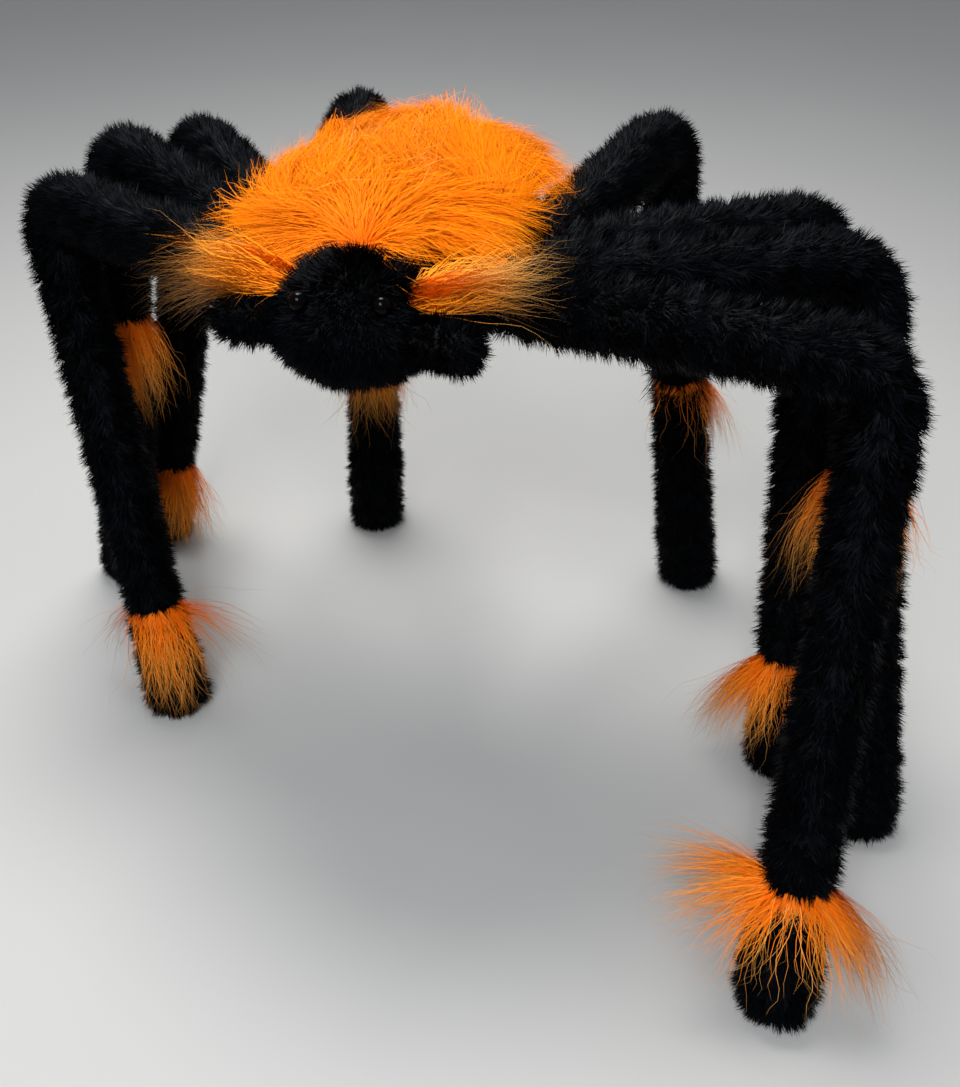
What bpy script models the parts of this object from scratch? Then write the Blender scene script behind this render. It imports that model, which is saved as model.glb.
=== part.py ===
"""Posable plush spider: a stuffed body and head on eight wired plush legs, with long orange fur on its
back, on its cheeks and in one band round each leg. X runs to the spider's left, Y to its rear, Z up."""

import math
from collections import namedtuple

import bmesh
import bpy
import numpy as np
from mathutils import Matrix, Vector

# Driving dimensions, in metres and degrees. Forward is -Y, and the soles stand on Z = 0.
GAP = 0.0004
LEG_RADIUS = 0.0255
HIP_HEIGHT = 0.417
THIGH_LENGTH = 0.2012
SHIN_LENGTH = 0.4184
ROOT_SUNK = 0.056
KNEE_ROUNDING = 0.034
FOOT_SWELL = 1.08
TOE_HEIGHT = 0.6 * LEG_RADIUS
BAND_UP = {"ankle": 0.084, "shin": 0.285, "rear": 0.215}
HIP_OUT = (0.105, 0.110, 0.110, 0.085)
HIP_FORWARD = (0.056, 0.014, -0.020, -0.050)

COLLAR_HEIGHT = 0.014
COLLAR_RADIUS = 0.0262
BAND_LOCKS = 8
BAND_LOCK_LENGTH = {"ankle": 0.082, "shin": 0.096, "rear": 0.090}
HANGING_SHARE = 0.80
HEM_NOTCH = 0.30
HANGING_LIFT = 7.0
LOCK_SAG = 0.016
FLOOR_ROOM = 0.004

BODY_HALF = Vector((0.090, 0.112, 0.040))
BODY_CENTRE = Vector((0.0, 0.010, 0.411))
HEAD_HALF = Vector((0.057, 0.048, 0.042))
HEAD_CENTRE = Vector((-0.005, -0.093, 0.410))
HEAD_CROWN_TAPER = 0.30
EYE_RADIUS = 0.0062
EYE_OUT = 0.0240
EYE_HEIGHT = 0.4325
EYE_SEAT = 0.97
PALP_ROOT = Vector((0.036, -0.106, 0.409))
PALP_TIP = Vector((0.072, -0.118, 0.418))
PALP_RADIUS = 0.0175

FUR_CENTRE = Vector((-0.012, 0.046, 0.444))
FUR_LOWEST = 0.4455
FurTier = namedtuple("FurTier", "half_width half_length crown rim locks turn")
FUR_TIERS = (
    FurTier(0.101, 0.124, 0.480, 0.4480, 22, 0.0),
    FurTier(0.085, 0.103, 0.492, 0.4620, 20, 0.5),
    FurTier(0.063, 0.076, 0.501, 0.4770, 16, 0.0),
)
FUR_NOTCH = 0.80
FUR_RIDGE = 0.0045
FUR_FULLNESS = 2.8

CHEEK_ROOT = Vector((0.0380, -0.095, 0.4390))
CHEEK_LENGTH = 0.084
CHEEK_HALF = (0.0110, 0.0150)
CHEEK_FLARE = 0.12
CHEEK_DROOP = 0.008
CHEEK_LOCKS = 6
CHEEK_STREAM = {1: (-7, 8), -1: (10, 4)}

TUBE_SIDES = 12
BLACK_PLUSH = (0.010, 0.010, 0.012)
ORANGE_FUR = (1.0, 0.262, 0.012)
GLOSSY_BLACK = (0.004, 0.004, 0.005)

# Heading is how far the thigh turns forward from straight out, rise is its slope, knee_shift is how
# much further out its wire is bent, and shin_heading is where the shin leans. Each sweep is a side that
# the band's hair blows to and how far it lifts there.
Leg = namedtuple("Leg", "name side rank heading rise knee_shift shin_heading band sweeps")
LEGS = (
    Leg("left_leg_1", 1, 0, 0, -3, 0.001, 86, "ankle", ((180, 102), (0, 30))),
    Leg("left_leg_2", 1, 1, -26, -1, 0.001, 53, "shin", ((180, 8),)),
    Leg("left_leg_3", 1, 2, -43, -3, 0.001, 73, "ankle", ((180, 24),)),
    Leg("left_leg_4", 1, 3, -77, 6, -0.008, -4, "rear", ((0, 10),)),
    Leg("right_leg_1", -1, 0, -22, -1, 0.003, 133, "ankle", ((180, 36), (0, 22))),
    Leg("right_leg_2", -1, 1, -32, 4, -0.004, 2, "shin", ((0, 8),)),
    Leg("right_leg_3", -1, 2, -46, 1, 0.0, 4, "ankle", ((0, 14),)),
    Leg("right_leg_4", -1, 3, -76, 3.5, 0.004, 31, "rear", ((0, 6),)),
)


def clear_scene():
    for obj in list(bpy.data.objects):
        bpy.data.objects.remove(obj, do_unlink=True)


def new_collection(name):
    collection = bpy.data.collections.new(name)
    bpy.context.scene.collection.children.link(collection)
    return collection


def principled(name, colour, roughness):
    material = bpy.data.materials.new(name)
    material.use_nodes = True
    shader = material.node_tree.nodes["Principled BSDF"]
    shader.inputs["Base Color"].default_value = (*colour, 1.0)
    shader.inputs["Roughness"].default_value = roughness
    shader.inputs["Metallic"].default_value = 0.0
    return material


def add_mesh(name, mesh, material):
    """Links a mesh to the part's collection as one smooth-shaded object under the root."""
    mesh.materials.clear()
    mesh.materials.append(material)
    mesh.shade_smooth()
    mesh.set_sharp_from_angle(angle=math.radians(50))
    obj = bpy.data.objects.new(name, mesh)
    obj.parent = root
    parts.objects.link(obj)
    return obj


def mesh_of(name, build):
    """A mesh made by one function that fills a bmesh."""
    work = bmesh.new()
    build(work)
    bmesh.ops.recalc_face_normals(work, faces=work.faces)
    mesh = bpy.data.meshes.new(name)
    work.to_mesh(mesh)
    work.free()
    return mesh


def shell_between_poles(name, rows):
    """A closed surface through rings of points, with a point in the middle of its first and last ring."""

    def build(work):
        rings = [[work.verts.new(point) for point in row] for row in rows]
        count = len(rings[0])
        for upper, lower in zip(rings, rings[1:]):
            for i in range(count):
                j = (i + 1) % count
                work.faces.new((upper[i], upper[j], lower[j], lower[i]))
        for ring, row in ((rings[0], rows[0]), (rings[-1], rows[-1])):
            pole = work.verts.new(np.mean(row, axis=0))
            for i in range(count):
                work.faces.new((ring[i], ring[(i + 1) % count], pole))
        bmesh.ops.triangulate(work, faces=work.faces)

    return mesh_of(name, build)


def tube_mesh(name, points, radius, swells=None):
    """A round tube along points, made as a bevelled curve with welded caps."""
    curve = bpy.data.curves.new(name, "CURVE")
    curve.dimensions = "3D"
    curve.bevel_depth = radius
    curve.bevel_resolution = TUBE_SIDES // 2 - 2
    curve.use_fill_caps = True
    spline = curve.splines.new("POLY")
    spline.points.add(len(points) - 1)
    for i, point in enumerate(points):
        spline.points[i].co = (*point, 1.0)
        spline.points[i].radius = swells[i] if swells else 1.0
    guide = bpy.data.objects.new(name + "_guide", curve)
    bpy.context.scene.collection.objects.link(guide)
    graph = bpy.context.evaluated_depsgraph_get()
    mesh = bpy.data.meshes.new_from_object(guide.evaluated_get(graph))
    bpy.data.objects.remove(guide, do_unlink=True)
    bpy.data.curves.remove(curve)
    work = bmesh.new()
    work.from_mesh(mesh)
    bmesh.ops.remove_doubles(work, verts=work.verts, dist=0.00005)
    bmesh.ops.recalc_face_normals(work, faces=work.faces)
    work.to_mesh(mesh)
    work.free()
    return mesh


def swollen_cutter(name, mesh, by=GAP):
    """A hidden copy of a shape, grown by the gap that its neighbour has to keep."""
    work = bmesh.new()
    work.from_mesh(mesh)
    work.normal_update()
    for vertex in work.verts:
        vertex.co += vertex.normal * by
    grown = bpy.data.meshes.new(name + "_cutter")
    work.to_mesh(grown)
    work.free()
    cutter = bpy.data.objects.new(name + "_cutter", grown)
    cutter.parent = root
    cutter.hide_render = True
    cutter.display_type = "WIRE"
    cutters.objects.link(cutter)
    return cutter


def boolean(obj, operation, other):
    modifier = obj.modifiers.new(operation.lower() + "_" + other.name, "BOOLEAN")
    modifier.operation = operation
    modifier.object = other
    modifier.solver = "EXACT"


def on_side(point, side):
    """The mirrored place of a point on the spider's left (1) or right (-1)."""
    return Vector((side * point.x, point.y, point.z))


def direction(side, heading, rise):
    """A unit vector that points out to a side, turned forward by heading and up by rise."""
    turn, slope = math.radians(heading), math.radians(rise)
    return Vector((side * math.cos(turn) * math.cos(slope), -math.sin(turn) * math.cos(slope), math.sin(slope)))


def leg_line(leg):
    """Hip, knee and toe of a leg: the shin leans just enough to set the toe down on the floor."""
    hip = Vector((leg.side * HIP_OUT[leg.rank], -HIP_FORWARD[leg.rank], HIP_HEIGHT))
    knee = hip + (THIGH_LENGTH + leg.knee_shift) * direction(leg.side, leg.heading, leg.rise)
    drop = knee.z - TOE_HEIGHT
    lean = math.sqrt((SHIN_LENGTH - leg.knee_shift) ** 2 - drop**2)
    toe = knee + lean * direction(leg.side, leg.shin_heading, 0) - Vector((0, 0, drop))
    return hip, knee, toe


def rounded_knee(hip, knee, end, steps=5):
    """Points from the hip to the end, with the corner at the knee turned into a quadratic bend."""
    before = knee + (hip - knee).normalized() * KNEE_ROUNDING
    after = knee + (end - knee).normalized() * KNEE_ROUNDING
    bend = []
    for i in range(steps + 1):
        t = i / steps
        bend.append((1 - t) ** 2 * before + 2 * t * (1 - t) * knee + t**2 * after)
    root_end = hip - (knee - hip).normalized() * ROOT_SUNK
    middle = (hip + before) / 2
    return [root_end, middle, *bend, (after + end) / 2, end]


def rounded_toe(start, toe, steps=4):
    """Points and swells from the band to a round toe, whose end is a half ball."""
    axis = (toe - start).normalized()
    radius = LEG_RADIUS * FOOT_SWELL
    points = [start, start + axis * 0.012, toe - axis * radius]
    swells = [0.97, 1.0, FOOT_SWELL]
    for i in range(steps):
        turn = math.radians(84) * i / (steps - 1)
        points.append(toe + axis * radius * math.sin(turn))
        swells.append(FOOT_SWELL * math.cos(turn))
    return points, swells


def band_rows(top, axis, leg):
    """Rings of a fur band: a collar round the leg whose hem runs out into pointed locks.

    Every second column carries a lock's tip and the others the notch between two locks. A lock leaves
    the collar at its own lift from the leg's axis and sags along its length. The locks that are blown
    to a side keep their whole length, the others hang shorter, and none reaches the floor."""
    across = Vector((1, 0, 0)) - axis * axis.x
    across.normalize()
    forward = axis.cross(across)
    if forward.y > 0:
        forward.negate()
    length = BAND_LOCK_LENGTH[leg.band]
    columns = 2 * BAND_LOCKS
    fall = Vector((0, 0, -1))

    def ring(radius, along, lift_share, thickness):
        row = []
        for i in range(columns):
            angle = 2 * math.pi * i / columns
            outward = across * math.cos(angle) + forward * math.sin(angle)
            lift, blown = HANGING_LIFT, 0.0
            for side, amount in leg.sweeps:
                toward = max(0.0, math.cos(angle - math.radians(side)))
                lift += amount * toward**3
                blown = max(blown, toward**1.5)
            reach = length * (HANGING_SHARE + (1.0 - HANGING_SHARE) * blown)
            if i % 4 == 2:
                reach *= 0.88
            turn = math.radians(lift)
            flight = axis * math.cos(turn) + outward * math.sin(turn)
            start = top + axis * along + outward * radius
            sag = LOCK_SAG * lift / 90.0
            if flight.z < 0.0:
                reach = min(reach, (start.z - sag - FLOOR_ROOM) / -flight.z)
            reach *= 1.0 if i % 2 == 0 else HEM_NOTCH
            bent = flight * reach * lift_share + fall * sag * lift_share**2
            row.append(start + bent - outward * thickness * (1 - lift_share))
        return row

    rows = [ring(COLLAR_RADIUS, 0.0, 0.0, 0.0), ring(COLLAR_RADIUS + 0.005, COLLAR_HEIGHT, 0.0, 0.0)]
    rows += [ring(COLLAR_RADIUS + 0.005, COLLAR_HEIGHT, share, 0.0) for share in (0.35, 0.70)]
    rows.append(ring(COLLAR_RADIUS + 0.005, COLLAR_HEIGHT, 1.0, 0.0))
    rows += [ring(COLLAR_RADIUS + 0.005, COLLAR_HEIGHT, share, 0.0055) for share in (0.65, 0.30)]
    rows.append(ring(COLLAR_RADIUS + 0.0005, COLLAR_HEIGHT, 0.0, 0.0))
    return rows


def build_leg(leg, neighbours):
    """One leg: the black upper tube from hip to band, the orange band, and the black lower tube."""
    hip, knee, toe = leg_line(leg)
    axis = (toe - knee).normalized()
    band_top = toe - axis * BAND_UP[leg.band]
    upper_mesh = tube_mesh(leg.name + "_upper", rounded_knee(hip, knee, band_top - axis * GAP), LEG_RADIUS)
    upper = add_mesh(leg.name + "_upper", upper_mesh, black_plush)
    for neighbour in neighbours:
        boolean(upper, "DIFFERENCE", neighbour)
    add_mesh(
        leg.name + "_fur_band",
        shell_between_poles(leg.name + "_fur_band", band_rows(band_top, axis, leg)),
        orange_fur,
    )
    points, swells = rounded_toe(band_top + axis * (COLLAR_HEIGHT + GAP), toe)
    lower = add_mesh(leg.name + "_lower", tube_mesh(leg.name + "_lower", points, LEG_RADIUS, swells), black_plush)
    boolean(lower, "DIFFERENCE", floor_cutter())
    return swollen_cutter(leg.name, upper_mesh)


def floor_cutter():
    """A slab below the floor that cuts every foot to a flat sole."""
    if "floor_cutter" in bpy.data.objects:
        return bpy.data.objects["floor_cutter"]
    mesh = mesh_of("floor", lambda work: bmesh.ops.create_cube(work, size=2.0))
    mesh.transform(Matrix.Translation((0, 0, -1.0)))
    cutter = swollen_cutter("floor", mesh, by=0.0)
    return cutter


def ball_mesh(name, half, centre, across=20, around=12, shape=None):
    """A ball stretched to its half sizes, with an optional change to each of its unit points."""

    def build(work):
        bmesh.ops.create_uvsphere(work, u_segments=across, v_segments=around, radius=1.0)
        for vertex in work.verts:
            unit = shape(vertex.co) if shape else vertex.co
            vertex.co = Vector((unit.x * half.x, unit.y * half.y, unit.z * half.z)) + centre

    return mesh_of(name, build)


def pear_face(unit):
    """Narrows the crown of the head and keeps its jaw full."""
    narrow = 1.0 - HEAD_CROWN_TAPER * max(0.0, unit.z)
    return Vector((unit.x * narrow, unit.y, unit.z))


def full_cushion(unit):
    """Squares a ball up a little, like a stuffed cushion."""
    fuller = [math.copysign(abs(value) ** 0.86, value) for value in unit]
    return Vector(fuller)


def eye_centre(side):
    """Where an eye sits: on the face of the head's ellipsoid, at EYE_SEAT of the way out to its surface."""
    up = (EYE_HEIGHT - HEAD_CENTRE.z) / HEAD_HALF.z
    out = (side * EYE_OUT - HEAD_CENTRE.x) / (HEAD_HALF.x * (1.0 - HEAD_CROWN_TAPER * up))
    forward = math.sqrt(EYE_SEAT**2 - up**2 - out**2)
    return Vector((side * EYE_OUT, HEAD_CENTRE.y - HEAD_HALF.y * forward, EYE_HEIGHT))


def palp_points(side, steps=5):
    """A short plush nub that leaves the jaw sideways and ends in a half ball."""
    start, tip = on_side(PALP_ROOT, side), on_side(PALP_TIP, side)
    axis = (tip - start).normalized()
    points, swells = [start, (start + tip) / 2], [1.0, 1.04]
    for i in range(steps):
        turn = math.radians(82) * i / (steps - 1)
        points.append(tip + axis * PALP_RADIUS * math.sin(turn))
        swells.append(1.04 * math.cos(turn))
    return points, swells


def fur_tier_rows(tier):
    """Rings of one tier of the back's fur: a low dome whose rim runs out into pointed locks.

    The dome's height falls with a power of the distance from its middle, its fullness. Each lock's
    column is raised into a ridge, and the columns between two locks stop short of the rim."""
    columns = 2 * tier.locks

    def ring(share, bottom):
        row = []
        for i in range(columns):
            angle = 2 * math.pi * (i + tier.turn) / columns
            is_lock = i % 2 == 0
            reach = share * (1.0 if is_lock else 1.0 - (1.0 - FUR_NOTCH) * share)
            if is_lock and i % 6 == 0:
                reach *= 1.0 + 0.07 * share
            height = tier.rim + (tier.crown - tier.rim) * (1.0 - share**FUR_FULLNESS)
            height += FUR_RIDGE * share * (1.0 - share) * 4.0 * (1.0 if is_lock else -0.6)
            if bottom:
                height = FUR_LOWEST + (tier.rim - FUR_LOWEST) * share
            place = (tier.half_width * reach * math.cos(angle), tier.half_length * reach * math.sin(angle))
            row.append(Vector((place[0] + FUR_CENTRE.x, place[1] + FUR_CENTRE.y, height)))
        return row

    rows = [ring(share, False) for share in (0.22, 0.48, 0.76, 1.0)]
    return rows + [ring(share, True) for share in (0.72, 0.30)]


def build_back_fur(neighbours):
    """The orange fur of the back: three tiers of locks joined in one and hollowed to its neighbours."""
    tiers = []
    for number, tier in enumerate(FUR_TIERS):
        tiers.append(shell_between_poles(f"fur_tier_{number}", fur_tier_rows(tier)))
    fur = add_mesh("back_fur", tiers[0], orange_fur)
    for number, mesh in enumerate(tiers[1:], start=1):
        boolean(fur, "UNION", swollen_cutter(f"fur_tier_{number}", mesh, by=0.0))
    for neighbour in neighbours:
        boolean(fur, "DIFFERENCE", neighbour)
    return fur


def cheek_rows(side):
    """Rings of a cheek tuft: an oval root on the head's side whose locks stream outwards and droop."""
    columns = 2 * CHEEK_LOCKS
    outward = direction(side, *CHEEK_STREAM[side])
    root_end = on_side(CHEEK_ROOT, side) + Vector((HEAD_CENTRE.x, 0, 0))

    def ring(share, swell, inner):
        row = []
        for i in range(columns):
            angle = 2 * math.pi * i / columns
            is_tip = i % 2 == 0
            reach = CHEEK_LENGTH * share * (1.0 if is_tip else 0.55)
            spread = (swell - 0.45 * inner) * (1.0 + CHEEK_FLARE * share)
            offset = Vector((0, CHEEK_HALF[0] * math.cos(angle), CHEEK_HALF[1] * math.sin(angle))) * spread
            droop = Vector((0, 0, -CHEEK_DROOP)) * share**2
            row.append(root_end + outward * reach + offset + droop)
        return row

    rows = [ring(0.0, 0.8, 0.0), ring(0.25, 1.0, 0.0), ring(0.6, 1.0, 0.0), ring(1.0, 1.0, 0.0)]
    return rows + [ring(0.70, 1.0, 1.0), ring(0.45, 0.8, 1.0)]


def build_cheek(side, word, neighbours):
    """One cheek tuft, hollowed to the head, the palp and the thigh that it lies against."""
    cheek = add_mesh(
        f"{word}_cheek_tuft", shell_between_poles(f"{word}_cheek_tuft", cheek_rows(side)), orange_fur
    )
    for neighbour in neighbours:
        boolean(cheek, "DIFFERENCE", neighbour)


def build_head():
    """The black head with its two sunk eyes and its palps."""
    head_mesh = ball_mesh("head", HEAD_HALF, HEAD_CENTRE, shape=pear_face)
    head = add_mesh("head", head_mesh, black_plush)
    head_cutter = swollen_cutter("head", head_mesh)
    palp_cutters = {}
    for side, word in ((1, "left"), (-1, "right")):
        eye_half = Vector((EYE_RADIUS, EYE_RADIUS, EYE_RADIUS))
        eye_mesh = ball_mesh(f"{word}_eye", eye_half, eye_centre(side), across=12, around=8)
        add_mesh(f"{word}_eye", eye_mesh, glossy_black)
        boolean(head, "DIFFERENCE", swollen_cutter(f"{word}_eye", eye_mesh))
        points, swells = palp_points(side)
        palp_mesh = tube_mesh(f"{word}_palp", points, PALP_RADIUS, swells)
        palp = add_mesh(f"{word}_palp", palp_mesh, black_plush)
        boolean(palp, "DIFFERENCE", head_cutter)
        palp_cutters[side] = swollen_cutter(f"{word}_palp", palp_mesh)
    return head_cutter, palp_cutters


def centre_on_origin():
    """Moves the root so that the middle of the part's footprint stands on the origin."""
    bpy.context.view_layer.update()
    graph = bpy.context.evaluated_depsgraph_get()
    corners = []
    for obj in parts.objects:
        evaluated = obj.evaluated_get(graph)
        corners += [evaluated.matrix_world @ Vector(corner) for corner in evaluated.bound_box]
    corners = np.array(corners)
    middle = (corners.min(axis=0) + corners.max(axis=0)) / 2
    root.location = (-middle[0], -middle[1], 0.0)
    bpy.context.view_layer.update()


clear_scene()
parts = new_collection("Plush spider")
cutters = new_collection("Cutters")
root = bpy.data.objects.new("spider_root", None)
parts.objects.link(root)
black_plush = principled("black_plush", BLACK_PLUSH, 0.85)
orange_fur = principled("orange_fur", ORANGE_FUR, 0.6)
glossy_black = principled("glossy_black", GLOSSY_BLACK, 0.06)

head_shape, palp_shapes = build_head()
body_mesh = ball_mesh("body", BODY_HALF, BODY_CENTRE, across=22, around=12, shape=full_cushion)
body = add_mesh("body", body_mesh, black_plush)
boolean(body, "DIFFERENCE", head_shape)
body_shape = swollen_cutter("body", body_mesh)
leg_shapes = []
for leg in LEGS:
    in_front = leg_shapes[-1:] if leg.rank else [head_shape, palp_shapes[leg.side]]
    leg_shapes.append(build_leg(leg, [body_shape, *in_front]))
build_cheek(1, "left", [head_shape, palp_shapes[1], leg_shapes[0]])
build_cheek(-1, "right", [head_shape, palp_shapes[-1], leg_shapes[4]])
build_back_fur([body_shape, head_shape, *leg_shapes])
centre_on_origin()
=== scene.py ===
"""Looks of a posable plush spider: stuffed skins under black pile, long orange fur and glossy eyes.

Every hair is a narrow ribbon that tapers to a point. The ribbons of one pile are joined in one mesh,
which grows from a stuffed skin. X runs to the spider's left, Y to its rear and Z up, in metres.
"""

import logging
import math
from collections.abc import Callable
from dataclasses import dataclass, field, replace
from enum import Enum

import bpy
import numpy as np
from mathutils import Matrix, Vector
from numpy.typing import NDArray


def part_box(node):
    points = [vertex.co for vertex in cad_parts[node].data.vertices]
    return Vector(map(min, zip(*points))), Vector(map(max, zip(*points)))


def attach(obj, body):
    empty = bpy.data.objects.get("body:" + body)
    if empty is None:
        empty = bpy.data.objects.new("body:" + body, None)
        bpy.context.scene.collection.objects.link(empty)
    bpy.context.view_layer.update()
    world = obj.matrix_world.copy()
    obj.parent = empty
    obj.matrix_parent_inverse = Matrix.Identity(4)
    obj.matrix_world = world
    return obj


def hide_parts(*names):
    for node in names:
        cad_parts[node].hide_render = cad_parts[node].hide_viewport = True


Array = NDArray[np.float64]
Settling = Callable[[Array], Array]

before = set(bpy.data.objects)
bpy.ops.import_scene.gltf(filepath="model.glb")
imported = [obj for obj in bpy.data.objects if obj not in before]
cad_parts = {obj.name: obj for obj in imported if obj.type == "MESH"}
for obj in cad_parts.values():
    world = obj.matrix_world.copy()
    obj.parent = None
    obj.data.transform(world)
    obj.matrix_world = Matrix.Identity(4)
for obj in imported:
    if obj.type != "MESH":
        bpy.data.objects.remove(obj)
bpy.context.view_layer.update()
log = logging.getLogger("plush_spider")

ROOT = "root"
PILE_MAP = "OFBake"
DOWN = np.array([0.0, 0.0, -1.0])
SIDES = (("left", 1), ("right", -1))
FULL_TURN = 2 * math.pi
SHORTEST_VECTOR = 1e-12

# How far hair and soles stay above the floor, and how many such layers the highest lock lies on.
FLOOR_CLEARANCE = 0.0004
FLOOR_LAYERS = 3

# Uneven stuffing: the first sine's least and greatest length, how the later ones shorten and weaken,
# and what their sum is divided by.
RIPPLE_LENGTHS = (0.035, 0.11)
RIPPLE_SHORTENING = 0.3
RIPPLE_WEAKENING = 0.4
RIPPLE_SUM = 3.0

# Every pile draws its locks from whole numbers of its own, and so does each size of its locks.
SALTS_PER_PILE = 100
SALTS_PER_LOCK = 20

# What all piles share: how much shorter some locks are, the power of the share along a hair by which it
# gathers, and how much hairs differ in curl, wave, roll in degrees, width, facing and tone.
LOCK_SHORTENING = 0.18
GATHER_POWER = 1.2
CURL_SPREAD = 0.25
PHASE_SPREAD = 0.9
ROLL_SPREAD = 36
WIDTH_SPREAD = 0.2
FACING_SPREAD = 0.10
TONE_SPREAD = 0.15
LOCK_TONE_RANGE = 0.56

# Where a hair's tone lies across the map: how far from its edges, and half the hair's width on it.
TONE_MARGIN = 0.02
TONE_HALF_WIDTH = 0.01

HEAD_CENTRE = np.array([-0.005, -0.093, 0.410])
HEAD_BOX = [np.array(corner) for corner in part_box("head")]
STANCE_SHIFT = ((HEAD_BOX[0] + HEAD_BOX[1]) / 2 - HEAD_CENTRE) * np.array([1.0, 1.0, 0.0])


def unit(vectors: Array) -> Array:
    """Each vector divided by its own length."""
    return vectors / np.maximum(np.linalg.norm(vectors, axis=-1, keepdims=True), SHORTEST_VECTOR)


def mix(start: Array | float, end: Array | float, share: Array | float) -> Array:
    """The value that lies a share of the way from start to end."""
    return start + (end - start) * share


def ease(value: Array | float) -> Array:
    """A smooth step from 0 to 1.

    The value is kept in 0 to 1, and the step is three times its square less twice its cube.
    """
    kept = np.clip(value, 0.0, 1.0)
    return kept * kept * (3.0 - 2.0 * kept)


def bump(value: Array, middle: float, width: float) -> Array:
    """A bell round the middle: e to the minus square of the distance over the width."""
    return np.exp(-(((value - middle) / width) ** 2))


def flattened(vectors: Array, normals: Array) -> Array:
    """The part of each vector that lies in the surface with that normal, as a unit vector."""
    return unit(vectors - normals * (vectors * normals).sum(-1, keepdims=True))


def direction(side: int, heading: float, rise: float) -> Array:
    """A unit vector that points out to a side, turned forward by heading and up by rise, in degrees."""
    turn, slope = math.radians(heading), math.radians(rise)
    level = math.cos(slope)
    return np.array([side * math.cos(turn) * level, -math.sin(turn) * level, math.sin(slope)])


def ripples(along: Array, around: Array, rng: np.random.Generator, waves: int = 6) -> Array:
    """Uneven stuffing: a sum of sines that run along and round a piece, each weaker than the last.

    Args:
        along: how far along the piece each point is, in metres.
        around: its turn round the piece, in radians.
        rng: where the sines' lengths and starts come from.
        waves: how many sines are added.

    Returns:
        Values of about -1 to 1.
    """
    total = np.zeros(np.broadcast(along, around).shape)
    for order in range(waves):
        length = rng.uniform(*RIPPLE_LENGTHS) / (1 + RIPPLE_SHORTENING * order)
        turns = rng.integers(0, 4)
        start = rng.uniform(0, FULL_TURN)
        wave = np.sin(FULL_TURN * along / length + turns * around + start)
        total = total + wave / (1 + RIPPLE_WEAKENING * order)
    return total / RIPPLE_SUM


@dataclass
class Skin:
    """A closed stuffed surface, as rings of points from one pole to the other.

    Attributes:
        points: the rings, as rings x around x 3.
        flow: the way that the pile is brushed at each point.
        cover: how thickly the pile grows there, from 0 to 1.
        reach: how long it grows there, as a share of its recipe's length.
    """

    points: Array
    flow: Array
    cover: Array | None = None
    reach: Array | None = None

    def __post_init__(self) -> None:
        """Fills in an even cover and an even reach where none is given."""
        even = np.ones(self.points.shape[:2])
        self.cover = even if self.cover is None else self.cover
        self.reach = even if self.reach is None else self.reach

    def crossed_steps(self) -> tuple[Array, float]:
        """The steps round crossed with those along, and 1 or -1 as they point outwards or inwards."""
        along = np.gradient(self.points, axis=0)
        around = np.roll(self.points, -1, axis=1) - np.roll(self.points, 1, axis=1)
        crossed = unit(np.cross(around, along))
        outward = self.points - self.points.mean(axis=1, keepdims=True)
        return crossed, math.copysign(1.0, (crossed * outward).sum())

    def normals(self) -> Array:
        """The outward normal at each point."""
        crossed, sign = self.crossed_steps()
        return crossed * sign

    def mesh(self, name: str) -> bpy.types.Mesh:
        """The skin as quads between its rings, closed by a fan of triangles at each pole.

        Args:
            name: the mesh's name.

        Returns:
            A smooth-shaded mesh whose faces point outwards.
        """
        rings, around = self.points.shape[:2]
        poles = np.array([self.points[0].mean(0), self.points[-1].mean(0)])
        corners = np.concatenate([self.points.reshape(-1, 3), poles])
        index = np.arange(rings * around).reshape(rings, around)
        beside = np.roll(index, -1, axis=1)
        quads = np.stack([index[:-1], beside[:-1], beside[1:], index[1:]], axis=-1).reshape(-1, 4)
        first = np.full(around, rings * around)
        fans = [
            np.stack([beside[0], index[0], first], axis=-1),
            np.stack([index[-1], beside[-1], first + 1], axis=-1),
        ]
        triangles = np.concatenate(fans)
        if self.crossed_steps()[1] < 0:
            quads, triangles = quads[:, ::-1], triangles[:, ::-1]
        return filled_mesh(name, corners, [quads, triangles])


def filled_mesh(name: str, corners: Array, face_sets: list[Array]) -> bpy.types.Mesh:
    """A smooth-shaded mesh from whole arrays.

    Args:
        name: the mesh's name.
        corners: its points, as count x 3.
        face_sets: arrays of corner indices, one for each number of corners that a face has.

    Returns:
        The mesh, with its edges worked out.
    """
    mesh = bpy.data.meshes.new(name)
    totals = np.concatenate([np.full(len(faces), faces.shape[1]) for faces in face_sets])
    starts = np.concatenate([[0], np.cumsum(totals)[:-1]])
    corner_of = np.concatenate([faces.ravel() for faces in face_sets])
    mesh.vertices.add(len(corners))
    mesh.vertices.foreach_set("co", corners.astype(np.float32).ravel())
    mesh.loops.add(int(totals.sum()))
    mesh.loops.foreach_set("vertex_index", corner_of.astype(np.int32))
    mesh.polygons.add(len(totals))
    mesh.polygons.foreach_set("loop_start", starts.astype(np.int32))
    mesh.update(calc_edges=True)
    mesh.shade_smooth()
    return mesh


@dataclass
class Roots:
    """Where hairs grow, as one row for each hair.

    Attributes:
        place: the root's point.
        normal: the way out of the skin there.
        flow: the way that the pile is brushed.
        reach: the hair's length as a share of its recipe's length.
        lift: how much nearer to the normal it stands than its recipe says, in radians.
    """

    place: Array
    normal: Array
    flow: Array
    reach: Array
    lift: Array


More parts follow.
